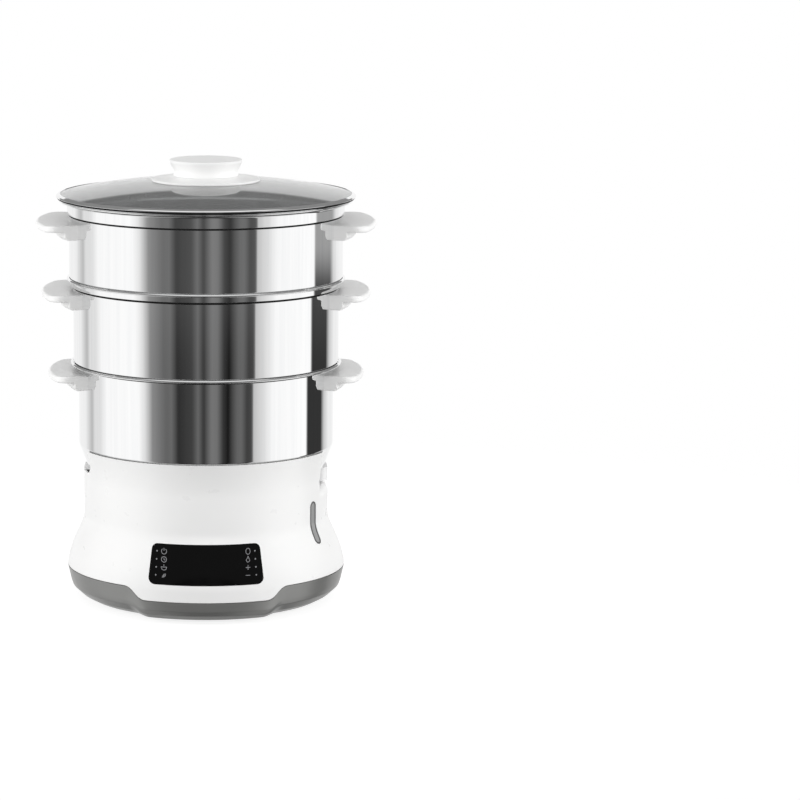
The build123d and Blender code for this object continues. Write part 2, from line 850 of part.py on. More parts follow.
element_z = plate_low_z - element_tube_r
pin_places = [outward(180 + side * element_gap / 2) * element_r for side in (-1, 1)]

with BuildPart() as heater_element:
    with BuildSketch(radial_plane(180 + element_gap / 2)):
        with Locations((element_r, element_z)):
            Circle(element_tube_r)
    revolve(axis=Axis.Z, revolution_arc=360 - element_gap)
    for place in pin_places:
        post(place.X, place.Y, element_z - element_pin_h, element_z, element_pin_r)
save(heater_element, "heater_element")

with BuildPart() as thermostat:
    ring(0, thermostat_r, plate_low_z - thermostat_h, plate_low_z)
    for x in (-thermostat_tab_x, thermostat_tab_x):
        block((tab_t, tab_w, tab_h), (x, 0), plate_low_z - thermostat_h - tab_h)
save(thermostat, "thermostat")

with BuildPart() as thermal_fuse:
    with Locations(Location((0, fuse_y, plate_low_z - fuse_r), (0, 90, 0))):
        Cylinder(fuse_r, fuse_len)
        Cylinder(fuse_lead_r, fuse_len + 2 * fuse_lead_len)
save(thermal_fuse, "thermal_fuse")


# ------------------------------------------------------------------ power board
def on_power_board(place):
    """Point of the part from a place on the power board."""
    return (place[0], power_board_y + place[1])


with BuildPart() as power_board:
    block((power_board_w, power_board_d, board_t), (0, power_board_y), power_board_z)
    for x, y in power_holes:
        post(x, y, power_board_z, power_top_z, screw_r + shank_play, mode=Mode.SUBTRACT)
save(power_board, "power_board")

with BuildPart() as power_board_screws:
    for x, y in power_holes:
        screw(Location((x, y, power_top_z), (180, 0, 0)), board_screw_len)
save(power_board_screws, "power_board_screws")

with BuildPart() as relay:
    block(relay_size, on_power_board(relay_at), power_top_z)
    fillet(relay.edges().filter_by(Axis.Z), component_fillet)
save(relay, "relay")

with BuildPart() as power_capacitor:
    block(capacitor_size, on_power_board(capacitor_at), power_top_z)
    fillet(power_capacitor.edges().filter_by(Axis.Z), component_fillet)
save(power_capacitor, "power_capacitor")

terminal_x, terminal_y = on_power_board(terminal_at)
terminal_xs = [terminal_x - terminal_pole, terminal_x + terminal_pole]
terminal_wire_z = power_top_z + terminal_size[2] / 2
terminal_back_y = terminal_y + terminal_size[1] / 2
terminal_front_y = terminal_y - terminal_size[1] / 2

with BuildPart() as terminal_block:
    block(terminal_size, (terminal_x, terminal_y), power_top_z)
    for x in terminal_xs:
        post(
            x, terminal_y, terminal_wire_z + wire_r, power_top_z + terminal_size[2],
            terminal_well_r, mode=Mode.SUBTRACT,
        )
save(terminal_block, "terminal_block")

with BuildPart() as mains_wires:
    for side, end_x in zip((-1, 1), terminal_xs):
        start_x = side * wire_pair_x
        tube(
            [
                (start_x, gland_in_y + wire_entry, gland_z),
                (start_x, clamp_y - wire_lead - side * wire_stagger, gland_z),
                (end_x, terminal_back_y + wire_lead, terminal_wire_z),
                (end_x, terminal_back_y, terminal_wire_z),
            ],
            wire_r,
            wire_bend_r,
        )
save(mains_wires, "mains_wires")

with BuildPart() as heater_wires:
    for x, pin in zip(terminal_xs, sorted(pin_places, key=lambda place: place.X)):
        tube(
            [
                (x, terminal_front_y, terminal_wire_z),
                (x, terminal_front_y - wire_lead, terminal_wire_z),
                (pin.X, pin.Y, terminal_wire_z),
                (pin.X, pin.Y, element_z - element_pin_h),
            ],
            wire_r,
            heater_wire_bend_r,
        )
save(heater_wires, "heater_wires")

# ------------------------------------------------------------------ control board
with BuildPart() as control_board:
    with BuildSketch(board_plane):
        Rectangle(control_board_w, control_board_h)
        with Locations(*board_holes):
            Circle(screw_r + shank_play, mode=Mode.SUBTRACT)
    extrude(amount=-board_t)
save(control_board, "control_board")

with BuildPart() as control_board_screws:
    for x, y in board_holes:
        screw(board_plane.location * Location((x, y, -board_t)), control_screw_len)
save(control_board_screws, "control_board_screws")

with BuildPart() as display_module:
    with BuildSketch(board_plane):
        Rectangle(display_size[0], display_size[1])
    extrude(amount=display_size[2])
save(display_module, "display_module")

with BuildPart() as touch_springs:
    with BuildSketch(board_plane):
        with Locations(*touch_places):
            Circle(touch_spring_r)
            Circle(touch_spring_r - touch_spring_t, mode=Mode.SUBTRACT)
    extrude(amount=board_to_wall)
    add(spring_limit_form, mode=Mode.INTERSECT)
save(touch_springs, "touch_springs")

with BuildPart() as buzzer:
    with BuildSketch(board_plane.offset(-board_t)):
        with Locations((buzzer_x, 0)):
            Circle(buzzer_r)
    extrude(amount=-buzzer_h)
save(buzzer, "buzzer")

ribbon_end = board_plane.from_local_coords((0, -ribbon_entry, -board_t))
with BuildPart() as ribbon_cable:
    with BuildSketch(Plane.YZ.offset(-ribbon_w / 2)):
        with BuildLine():
            FilletPolyline(
                (power_board_y - power_board_d / 2 + ribbon_lap, power_top_z),
                (ribbon_turn_in - control_board_y, power_top_z),
                (ribbon_end.Y + ribbon_entry, ribbon_end.Z - ribbon_entry / 2),
                (ribbon_end.Y, ribbon_end.Z),
                radius=ribbon_bend_r,
            )
            offset(amount=ribbon_t, side=Side.RIGHT)
        make_face()
    extrude(amount=ribbon_w)
    add(control_board.part, mode=Mode.SUBTRACT)
save(ribbon_cable, "ribbon_cable")

# ------------------------------------------------------------------ level window
with BuildPart() as window_face:
    add(window_prism(-fit_gap))
    add(housing_form, mode=Mode.INTERSECT)
    add(housing_hollow, mode=Mode.SUBTRACT)

with BuildPart() as level_window:
    add(window_prism(-fit_gap, inset=window_neck_inset))
    add(housing_hollow, mode=Mode.INTERSECT)
    add(tank_form(window_gasket_t), mode=Mode.SUBTRACT)
    add(window_bore, mode=Mode.SUBTRACT)
    add(window_face.part)
save(level_window, "level_window")

with BuildPart() as level_window_gasket:
    add(window_prism(-fit_gap, inset=window_neck_inset))
    add(window_bore, mode=Mode.SUBTRACT)
    add(tank_form(window_gasket_t), mode=Mode.INTERSECT)
    add(tank_form(0), mode=Mode.SUBTRACT)
save(level_window_gasket, "level_window_gasket")

# ------------------------------------------------------------------ cord outlet
with BuildPart() as cord_gland:
    with BuildSketch(gland_plane.offset(gland_flange_y - gland_in_y)):
        Circle(gland_flange_r)
    extrude(amount=gland_out_y - gland_flange_y)
    add(skirt_form.part, mode=Mode.SUBTRACT)
    with BuildSketch(gland_plane):
        Circle(gland_r)
    extrude(amount=gland_out_y - gland_in_y)
    with BuildSketch(gland_plane):
        Circle(gland_bore_r)
    extrude(amount=gland_out_y - gland_in_y, mode=Mode.SUBTRACT)
save(cord_gland, "cord_gland")

with BuildPart() as cord_clamp:
    block(clamp_bar, (0, clamp_y), gland_z + gland_bore_r)
    for x in (-clamp_half_w, clamp_half_w):
        post(
            x, clamp_y, gland_z + gland_bore_r, gland_z + gland_bore_r + clamp_bar[2],
            screw_r + shank_play, mode=Mode.SUBTRACT,
        )
save(cord_clamp, "cord_clamp")

with BuildPart() as cord_clamp_screws:
    for x in (-clamp_half_w, clamp_half_w):
        screw(
            Location((x, clamp_y, gland_z + gland_bore_r + clamp_bar[2]), (180, 0, 0)),
            board_screw_len + clamp_bar[2],
        )
save(cord_clamp_screws, "cord_clamp_screws")

# ------------------------------------------------------------------ juice tray
juice_floor_z = tank_top_z - juice_dish_h
juice_rim_z = tank_top_z + seat_gap
juice_top_z = bottom.low_z - juice_clear
juice_dish_r = tank_mouth_r - juice_dish_gap
juice_wall_r = inner_wall_r - juice_side_gap
juice_flat_x = spout_r - juice_flat_in
chimney_top_z = juice_top_z - chimney_drop
grip_reach = wall_r - grip_in
grip_low_z = juice_top_z - grip_h

with BuildPart() as juice_hollow:
    spin([
        (0, juice_floor_z + juice_t),
        (juice_dish_r - juice_t, juice_floor_z + juice_t),
        (juice_dish_r - juice_t, juice_rim_z + juice_t),
        (juice_wall_r - juice_t, juice_rim_z + juice_t),
        (juice_wall_r - juice_t, juice_top_z),
        (0, juice_top_z),
    ])
    split(bisect_by=Plane.YZ.offset(juice_flat_x - juice_t), keep=Keep.BOTTOM)

with BuildPart() as juice_tray:
    spin([
        (0, juice_floor_z),
        (juice_dish_r, juice_floor_z),
        (juice_dish_r, juice_rim_z),
        (juice_wall_r, juice_rim_z),
        (juice_wall_r, juice_top_z),
        (0, juice_top_z),
    ])
    split(bisect_by=Plane.YZ.offset(juice_flat_x), keep=Keep.BOTTOM)
    add(juice_hollow.part, mode=Mode.SUBTRACT)
    ring(0, chimney_r, juice_floor_z, chimney_top_z)
    ring(0, chimney_r - juice_t, juice_floor_z, chimney_top_z, mode=Mode.SUBTRACT)
    # right grip, over the spout
    with BuildSketch(Plane.XY.offset(grip_low_z)):
        with Locations(((juice_flat_x - juice_t + grip_reach) / 2, 0)):
            Rectangle(grip_reach - juice_flat_x + juice_t, 2 * grip_half_w)
        fillet(vertices().group_by(Axis.X)[-1], grip_corner_r)
    extrude(amount=juice_top_z - grip_low_z)
    with BuildSketch(Plane.XY.offset(grip_low_z)):
        with Locations(((juice_flat_x + grip_reach - juice_t) / 2, 0)):
            Rectangle(grip_reach - juice_t - juice_flat_x, 2 * (grip_half_w - juice_t))
        fillet(vertices().group_by(Axis.X)[-1], grip_corner_r - juice_t)
    extrude(amount=juice_top_z - grip_low_z - juice_t, mode=Mode.SUBTRACT)
    # left grip, in the notch
    block(
        (grip_reach - juice_wall_r + juice_t, 2 * grip_half_w, juice_top_z - wall_top_z - seat_gap),
        (-(grip_reach + juice_wall_r - juice_t) / 2, 0),
        wall_top_z + seat_gap,
    )
save(juice_tray, "juice_tray")


# ------------------------------------------------------------------ bowls
def handle_azimuths(side):
    """Azimuths of the two screws of the handle at the right (+1) or left (-1)."""
    return [side * (90 - handle_screw_angle), side * (90 + handle_screw_angle)]


def screw_z(bowl):
    """Height of the handle screws."""
    return bowl.handle_z - handle_plate_t - handle_screw_drop


def radial_place(azimuth, radius, z):
    """Location whose z axis points outwards."""
    point = outward(azimuth) * radius
    return Plane(origin=(point.X, point.Y, z), z_dir=outward(azimuth)).location


def make_bowl_shell(bowl, wall):
    """Sheet steel shell, turned from one line, with holes for the handle screws."""
    with BuildPart() as shell:
        with BuildSketch(radial_plane(0)):
            with BuildLine():
                Polyline(*wall)
                offset(amount=sheet_t, side=Side.LEFT, kind=Kind.INTERSECTION)
            make_face()
        revolve(axis=Axis.Z)
        for azimuth in handle_azimuths(1) + handle_azimuths(-1):
            with Locations(radial_place(azimuth, bowl.body_r, screw_z(bowl))):
                Cylinder(screw_r + shank_play, 4 * sheet_t, mode=Mode.SUBTRACT)
    save(shell, bowl.name + "_bowl_shell")


def make_handle(bowl, wall, side, name):
    """Grip plate over a mounting block, hollowed to the wall, with blind screw holes."""
    with BuildPart() as body:
        spin([(0, bowl.low_z)] + wall[1:-1] + [(0, bowl.lip_z)])
    start = (90 if side < 0 else -90) + 90 - handle_span
    with BuildPart() as handle:
        for reach, low_z, high_z, corner in (
            (bowl.grip_r, bowl.handle_z - handle_plate_t, bowl.handle_z, handle_corner_r),
            (
                bowl.body_r + handle_block_w,
                bowl.handle_z - handle_plate_t - handle_block_h,
                bowl.handle_z - handle_plate_t,
                0,
            ),
        ):
            with BuildSketch(Plane.XY.offset(low_z)):
                with BuildLine():
                    inner = CenterArc((0, 0), bowl.body_r - casing_t, start, 2 * handle_span)
                    outer = CenterArc((0, 0), reach, start, 2 * handle_span)
                    Line(inner @ 0, outer @ 0)
                    Line(inner @ 1, outer @ 1)
                make_face()
                if corner:
                    fillet(vertices().sort_by(lambda v: hypot(v.X, v.Y))[-2:], corner)
            extrude(amount=high_z - low_z)
        top_face = handle.faces().sort_by(Axis.Z)[-1]
        fillet(
            top_face.edges().filter_by(lambda e: hypot(e.center().X, e.center().Y) > bowl.body_r),
            handle_edge_r,
        )
        low_edges = handle.faces().sort_by(Axis.Z)[0].edges()
        chamfer(low_edges.sort_by(lambda e: hypot((e @ 0.5).X, (e @ 0.5).Y))[-1], handle_chamfer)
        add(body.part, mode=Mode.SUBTRACT)
        for azimuth in handle_azimuths(side):
            with Locations(radial_place(azimuth, bowl.body_r - casing_t, screw_z(bowl))):
                Cylinder(
                    screw_r + thread_play, casing_t + handle_screw_len,
                    align=(Align.CENTER, Align.CENTER, Align.MIN), mode=Mode.SUBTRACT,
                )
    save(handle, name)


def make_handle_screws(bowl):
    """Pan head screws driven outwards from inside the bowl."""
    seat_r = bowl.body_r - sheet_t - thread_play
    with BuildPart() as screws:
        for azimuth in handle_azimuths(1) + handle_azimuths(-1):
            screw(
                radial_place(azimuth, seat_r, screw_z(bowl)),
                handle_screw_len,
                head_h=handle_screw_head_h,
            )
    save(screws, bowl.name + "_handle_screws")


def make_perforated_tray(bowl):
    """Flat steel tray with rings of slots and a turned-up rim."""
    low_z = bowl.low_z + sheet_t + seat_gap
    edge_r = bowl.neck_r - sheet_t - 2 * seat_gap
    with BuildPart() as tray:
        with BuildSketch(Plane.XY.offset(low_z)):
            Circle(edge_r)
            ring_r = slot_first_ring
            while ring_r < edge_r - tray_margin:
                with PolarLocations(ring_r, round(2 * pi * ring_r / slot_spacing)):
                    SlotOverall(slot_len, slot_w, rotation=90, mode=Mode.SUBTRACT)
                ring_r += slot_ring_pitch
        extrude(amount=tray_t)
        ring(edge_r - tray_t, edge_r, low_z, low_z + tray_rim_h)
    save(tray, bowl.name + "_tray")


for bowl, wall in bowl_walls.values():
    make_bowl_shell(bowl, wall)
    make_handle(bowl, wall, -1, bowl.name + "_handle_left")
    make_handle(bowl, wall, 1, bowl.name + "_handle_right")
    make_handle_screws(bowl)
    make_perforated_tray(bowl)

# ------------------------------------------------------------------ lid
lid_r = top.lip_r + lid_overhang
under_band = lid_dome_r - glass_t - glass_play - band_t
dome_centre_z = top.lip_z + sheet_t + seat_gap - sqrt(under_band**2 - top.lip_r**2)


def dome_z(radius, rise=0.0):
    """Height of the glass's upper surface, or of a surface `rise` above it."""
    return dome_centre_z + sqrt((lid_dome_r + rise) ** 2 - radius**2)


def dome_shell(r_in, r_out, low, high, mode=Mode.ADD):
    """Ring between two surfaces concentric with the glass."""
    r_mid = (r_in + r_out) / 2
    with BuildSketch(radial_plane(0)) as section:
        with BuildLine():
            upper = ThreePointArc(*[(r, dome_z(r, high)) for r in (r_in, r_mid, r_out)])
            lower = ThreePointArc(*[(r, dome_z(r, low)) for r in (r_in, r_mid, r_out)])
            Line(upper @ 0, lower @ 0)
            Line(upper @ 1, lower @ 1)
        make_face()
    revolve(section.sketch, axis=Axis.Z, mode=mode)


with BuildPart() as lid_glass:
    dome_shell(glass_hole_r, lid_r - band_t - glass_play, -glass_t, 0)
save(lid_glass, "lid_glass")

with BuildPart() as lid_rim_band:
    groove = (-glass_t - glass_play, glass_play)
    dome_shell(lid_r - band_w, lid_r, groove[0] - band_t, groove[1] + band_t)
    dome_shell(lid_r - 2 * band_w, lid_r - band_t, *groove, mode=Mode.SUBTRACT)
save(lid_rim_band, "lid_rim_band")

waist_z = dome_z(knob_waist_r) + collar_top_h
screw_hole_r = knob_screw_r + shank_play
with BuildPart() as knob_collar:
    with BuildSketch(radial_plane(0)):
        with BuildLine():
            r_mid = (screw_hole_r + collar_r) / 2
            seat = ThreePointArc(*[(r, dome_z(r)) for r in (screw_hole_r, r_mid, collar_r)])
            Polyline(
                seat @ 1,
                (collar_r, dome_z(collar_r) + collar_edge_t),
                (knob_waist_r, waist_z),
                (screw_hole_r, waist_z),
                seat @ 0,
            )
        make_face()
    revolve(axis=Axis.Z)
save(knob_collar, "knob_collar")

crown_z = waist_z + knob_h
knob_brim_z = crown_z - knob_dome
brim_r = knob_r - knob_edge_round
crown_r = (brim_r**2 + knob_dome**2) / (2 * knob_dome)
with BuildPart() as lid_knob:
    with BuildSketch(radial_plane(0)):
        with BuildLine():
            side = Polyline(
                (0, waist_z),
                (knob_waist_r, waist_z),
                (knob_waist_r, knob_brim_z - knob_edge_h - knob_taper_h),
                (knob_r, knob_brim_z - knob_edge_h / 2),
                (knob_r, knob_brim_z - knob_edge_round),
                (brim_r, knob_brim_z),
            )
            crown = ThreePointArc(
                side @ 1,
                (brim_r / 2, crown_z - crown_r + sqrt(crown_r**2 - brim_r**2 / 4)),
                (0, crown_z),
            )
            Line(crown @ 1, side @ 0)
        make_face()
    revolve(axis=Axis.Z)
    cavity_top_z = knob_brim_z - knob_wall
    ring(knob_boss_r, knob_waist_r - knob_wall, waist_z, cavity_top_z, mode=Mode.SUBTRACT)
    ring(0, knob_screw_r + thread_play, waist_z, cavity_top_z, mode=Mode.SUBTRACT)
save(lid_knob, "lid_knob")

with BuildPart() as knob_gasket:
    dome_shell(screw_hole_r, knob_gasket_r, -glass_t - knob_gasket_t, -glass_t)
save(knob_gasket, "knob_gasket")

washer_z = dome_z(knob_washer_r, -glass_t - knob_gasket_t)
with BuildPart() as knob_washer:
    ring(screw_hole_r, knob_washer_r, washer_z - knob_washer_t, washer_z)
save(knob_washer, "knob_washer")

with BuildPart() as knob_screw:
    screw(
        Location((0, 0, washer_z - knob_washer_t)), knob_screw_len,
        shank_r=knob_screw_r, head_r=knob_head_r, head_h=knob_head_h,
    )
save(knob_screw, "knob_screw")
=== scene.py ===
"""Looks of an electric food steamer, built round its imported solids.

Everything is in metres in the frame's axes: the bowls' axis is Z and the front, with the touch
panel, faces -Y. Azimuths run from the front towards the right (+X). Small sizes are written in
millimetres and multiplied by `mm`.
"""

import json
from math import atan2, cos, degrees, hypot, pi, radians, sin, sqrt, tan

import bmesh
import bpy
import numpy as np
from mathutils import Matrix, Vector


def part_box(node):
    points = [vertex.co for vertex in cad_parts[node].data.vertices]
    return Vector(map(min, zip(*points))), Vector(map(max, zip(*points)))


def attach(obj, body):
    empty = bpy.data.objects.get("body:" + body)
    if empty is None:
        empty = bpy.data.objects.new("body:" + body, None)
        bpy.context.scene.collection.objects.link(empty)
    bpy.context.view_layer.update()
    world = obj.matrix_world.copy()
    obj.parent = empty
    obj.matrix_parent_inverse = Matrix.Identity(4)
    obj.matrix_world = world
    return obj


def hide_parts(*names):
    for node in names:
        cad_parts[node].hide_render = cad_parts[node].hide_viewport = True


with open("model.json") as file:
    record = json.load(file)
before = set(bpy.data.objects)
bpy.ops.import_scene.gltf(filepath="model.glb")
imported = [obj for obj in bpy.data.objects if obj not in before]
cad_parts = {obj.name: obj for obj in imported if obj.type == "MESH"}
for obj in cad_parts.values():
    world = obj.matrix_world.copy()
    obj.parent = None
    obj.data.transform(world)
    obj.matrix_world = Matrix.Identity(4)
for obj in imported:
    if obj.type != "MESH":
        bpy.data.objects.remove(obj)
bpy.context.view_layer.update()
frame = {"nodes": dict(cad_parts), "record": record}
scene = bpy.context.scene
mm = 0.001

# ------------------------------------------------------------------ sizes that the solids share
sheet_t = 0.6 * mm  # steel of the bowls
taper_h = 21.6 * mm  # taper at a bowl's foot: its height, and how far it draws in
taper_in = 7.8 * mm
taper_slope = taper_in / taper_h
neck_h = 1.4 * mm  # upright neck below the taper, and the ledge that carries the tray
ledge_in = 9.0 * mm
lip_w = 1.5 * mm  # flat part of a rolled lip
seat_gap = 0.3 * mm  # clearance between pieces that fit into each other
casing_t = 2.4 * mm  # wall of the casing and the skirt
tiers = ("bottom", "middle", "top")


def reach(node):
    """Farthest extent of a node from the axis along X, in metres."""
    low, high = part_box(node)
    return max(-low.x, high.x)


# ------------------------------------------------------------------ outlines
def rounded(corners, radii, steps=5, closed=False):
    """Outline with arcs tangent to both runs in place of its corners.

    A corner that turns by t keeps radius * tan(t / 2) of each run free for its arc, at most 0.48 of
    the shorter run. An open outline keeps its two ends.
    """
    corners = np.asarray(corners, float)
    radii = np.broadcast_to(radii, len(corners))
    order = range(len(corners)) if closed else range(1, len(corners) - 1)
    out = [] if closed else [corners[:1]]
    for k in order:
        into = corners[k] - corners[k - 1]
        away = corners[(k + 1) % len(corners)] - corners[k]
        run = min(hypot(*into), hypot(*away))
        into, away = into / hypot(*into), away / hypot(*away)
        turn = atan2(into[0] * away[1] - into[1] * away[0], into @ away)
        if abs(turn) < 1e-4 or radii[k] <= 0:
            out.append(corners[k : k + 1])
            continue
        free = min(radii[k] * tan(abs(turn) / 2), 0.48 * run)
        bend = free / tan(abs(turn) / 2)
        inward = np.sign(turn) * np.array((-into[1], into[0]))
        centre = corners[k] - into * free + inward * bend
        angle = np.linspace(0, abs(turn), steps + 1)[:, None]
        out.append(centre + bend * (into * np.sin(angle) - inward * np.cos(angle)))
    if not closed:
        out.append(corners[-1:])
    return np.concatenate(out)


def path_normals(path):
    """Left-hand unit normals of an open path, averaged at its points and lengthened at bends."""
    runs = np.diff(path, axis=0)
    runs /= np.linalg.norm(runs, axis=1)[:, None]
    left = np.stack([-runs[:, 1], runs[:, 0]], 1)
    mean = np.concatenate([left[:1], left[:-1] + left[1:], left[-1:]])
    mean /= np.linalg.norm(mean, axis=1)[:, None]
    bend = np.concatenate([[1.0], np.sum(mean[1:-1] * left[1:], axis=1), [1.0]])
    return mean / np.maximum(bend, 0.5)[:, None]


def sheet_outline(path, thickness):
    """Closed outline of bent sheet metal: the path, and the path moved to its left."""
    path = np.asarray(path, float)
    return np.concatenate([path, (path + path_normals(path) * thickness)[::-1]])


def anticlockwise(outline):
    """The closed outline, turned round if it runs clockwise in the (radius, height) plane."""
    x, y = outline[:, 0], outline[:, 1]
    area = np.sum(x * np.roll(y, -1) - np.roll(x, -1) * y)
    return outline if area > 0 else outline[::-1]


# ------------------------------------------------------------------ surfaces
def around(radius, azimuth, height):
    """Points at a radius from the axis: (r sin a, -r cos a, z)."""
    radius, azimuth, height = np.broadcast_arrays(radius, azimuth, height)
    return np.stack([radius * np.sin(azimuth), -radius * np.cos(azimuth), height], -1)


def grid_faces(rows, columns, wrap_rows=False, wrap_columns=False):
    """Quads of a grid whose columns run anticlockwise round the axis and whose rows run upwards
    on the outside, so that they face outwards."""
    i = np.arange(rows if wrap_rows else rows - 1)[:, None]
    j = np.arange(columns if wrap_columns else columns - 1)[None, :]
    i_next, j_next = (i + 1) % rows, (j + 1) % columns
    quads = [i * columns + j, i * columns + j_next, i_next * columns + j_next, i_next * columns + j]
    return np.stack(np.broadcast_arrays(*quads), -1).reshape(-1, 4).tolist()


# points closer together than this are one
same_point = 1e-7


def make_mesh(name, points, faces, crease=40.0):
    """Mesh with its doubled points merged, shaded smooth except at edges sharper than `crease`."""
    mesh = bpy.data.meshes.new(name)
    mesh.from_pydata(np.asarray(points).reshape(-1, 3).tolist(), [], faces)
    work = bmesh.new()
    work.from_mesh(mesh)
    bmesh.ops.remove_doubles(work, verts=work.verts, dist=same_point)
    work.to_mesh(mesh)
    work.free()
    mesh.shade_smooth()
    mesh.set_sharp_from_angle(angle=radians(crease))
    return mesh


def turned(name, outline, columns=256):
    """Surface of revolution of a closed (radius, height) outline: each of its points goes round
    the axis at its own radius and height."""
    outline = anticlockwise(outline)
    azimuth = np.linspace(0, 2 * pi, columns, endpoint=False)[None, :]
    points = around(outline[:, :1], azimuth, outline[:, 1:])
    return make_mesh(name, points, grid_faces(len(outline), columns, True, True))


# how far from a fold's line the painted shade reaches on the steel
fold_shade_reach = 0.25 * mm


def paint_fold_shade(mesh, *folds):
    """Mark the outer points of a turned sheet on its folds, where the finish paints shade. Each
    fold is a straight line of its section, r = r0 + (r1 - r0) (z - z0) / (z1 - z0)."""
    points = np.empty(3 * len(mesh.vertices))
    mesh.vertices.foreach_get("co", points)
    x, y, z = points.reshape(-1, 3).T
    shaded_points = np.zeros(len(z))
    for (r0, z0), (r1, z1) in folds:
        line_r = r0 + (r1 - r0) * (z - z0) / (z1 - z0)
        shaded_points[(z > z0) & (z < z1) & (np.abs(np.hypot(x, y) - line_r) < fold_shade_reach)] = 1
    mesh.attributes.new("painted_fold_shade", "FLOAT", "POINT").data.foreach_set("value", shaded_points)


def carried(name, sections, azimuth):
    """Closed solid: one closed (radius, height) section for each azimuth, with flat ends."""
    sections = np.asarray(sections)
    columns, rows = sections.shape[:2]
    points = around(sections[..., 0], azimuth[:, None], sections[..., 1]).transpose(1, 0, 2)
    faces = grid_faces(rows, columns, wrap_rows=True)
    first = np.arange(rows) * columns
    last = first + columns - 1
    return make_mesh(name, points, faces + [first.tolist(), last[::-1].tolist()])


def ringed(name, sections, azimuth):
    """Closed ring round the axis: one closed (radius, height) section for each azimuth."""
    points = around(sections[..., 0], azimuth[:, None], sections[..., 1]).transpose(1, 0, 2)
    faces = grid_faces(sections.shape[1], len(azimuth), wrap_rows=True, wrap_columns=True)
    return make_mesh(name, points, faces, crease=50)


def place(mesh, body, finish, *nodes, even=True):
    """Show a mesh as a piece that moves with `body`, is made of `finish` and stands for `nodes`."""
    piece = bpy.data.objects.new(mesh.name, mesh)
    scene.collection.objects.link(piece)
    mesh.materials.append(finishes[finish])
    if even:
        weighted = piece.modifiers.new("even_shading", "WEIGHTED_NORMAL")
        weighted.keep_sharp = True
    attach(piece, body)
    if nodes:
        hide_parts(*nodes)


# ------------------------------------------------------------------ finishes
def start_material(name, **sockets):
    """Material with one Principled shader, its plain sockets set from the names given."""
    material = bpy.data.materials.new(name)
    material.use_nodes = True
    shader = material.node_tree.nodes["Principled BSDF"]
    for socket, value in sockets.items():
        shader.inputs[socket.replace("_", " ")].default_value = value
    return material, material.node_tree, shader


def noise(tree, scale, detail, stretch=(1, 1, 1)):
    """Noise with about `scale` features to the metre, fewer along an axis of small stretch."""
    coordinates = tree.nodes.new("ShaderNodeTexCoord")
    mapping = tree.nodes.new("ShaderNodeMapping")
    mapping.inputs["Scale"].default_value = stretch
    texture = tree.nodes.new("ShaderNodeTexNoise")
    texture.inputs["Scale"].default_value = scale
    texture.inputs["Detail"].default_value = detail
    tree.links.new(coordinates.outputs["Object"], mapping.inputs["Vector"])
    tree.links.new(mapping.outputs["Vector"], texture.inputs["Vector"])
    return texture.outputs["Fac"]


def feed(tree, value, socket):
    """Set a socket to a number, or link it to the socket that gives its value."""
    if isinstance(value, (int, float)):
        socket.default_value = value
    else:
        tree.links.new(value, socket)


def mapped(tree, value, limits, smooth=False):
    """Map a value from one range to another and hold it at the ends. The limits are the values
    from which and the values to which it is mapped, each with the low end first."""
    node = tree.nodes.new("ShaderNodeMapRange")
    if smooth:
        node.interpolation_type = "SMOOTHSTEP"
    for socket, limit in zip(node.inputs[1:5], limits):
        feed(tree, limit, socket)
    tree.links.new(value, node.inputs["Value"])
    return node.outputs["Result"]


def calculate(tree, operation, *values):
    """Result of one operation on numbers and sockets."""
    node = tree.nodes.new("ShaderNodeMath")
    node.operation = operation
    for socket, value in zip(node.inputs, values):
        feed(tree, value, socket)
    return node.outputs[0]


# the values that a noise pattern mostly keeps to
noise_span = (0.3, 0.7)


def vary(tree, pattern, socket, low, high):
    """Drive a number socket between two values with a pattern."""
    tree.links.new(mapped(tree, pattern, (*noise_span, low, high)), socket)


def tint(tree, pattern, socket, low, high):
    """Drive a colour socket between two colours with a pattern."""
    ramp = tree.nodes.new("ShaderNodeValToRGB")
    for stop, position, colour in zip(ramp.color_ramp.elements, noise_span, (low, high)):
        stop.position = position
        stop.color = (*colour, 1)
    tree.links.new(pattern, ramp.inputs["Fac"])
    tree.links.new(ramp.outputs["Color"], socket)


def relief(tree, shader, *layers):
    """Bump from one or more (pattern, depth in metres) layers."""
    normal = None
    for pattern, depth in layers:
        bump = tree.nodes.new("ShaderNodeBump")
        bump.inputs["Strength"].default_value = 1.0
        bump.inputs["Distance"].default_value = depth
        tree.links.new(pattern, bump.inputs["Height"])
        if normal is not None:
            tree.links.new(normal, bump.inputs["Normal"])
        normal = bump.outputs["Normal"]
    tree.links.new(normal, shader.inputs["Normal"])


def scaled(colour, factor):
    """A colour made lighter or darker."""
    return tuple(min(1.0, channel * factor) for channel in colour)


def moulded(name, colour, roughness, grain=0.0015 * mm, grain_scale=1500, **sockets):
    """Moulded plastic: faint flow mottling, uneven sheen and a fine spark-eroded grain."""
    material, tree, shader = start_material(name, **sockets)
    clouds = noise(tree, 14, 3)
    tint(tree, clouds, shader.inputs["Base Color"], scaled(colour, 0.985), scaled(colour, 1.01))
    vary(tree, noise(tree, 60, 4), shader.inputs["Roughness"], roughness * 0.9, roughness * 1.12)
    relief(tree, shader, (noise(tree, grain_scale, 2), grain))
    return material


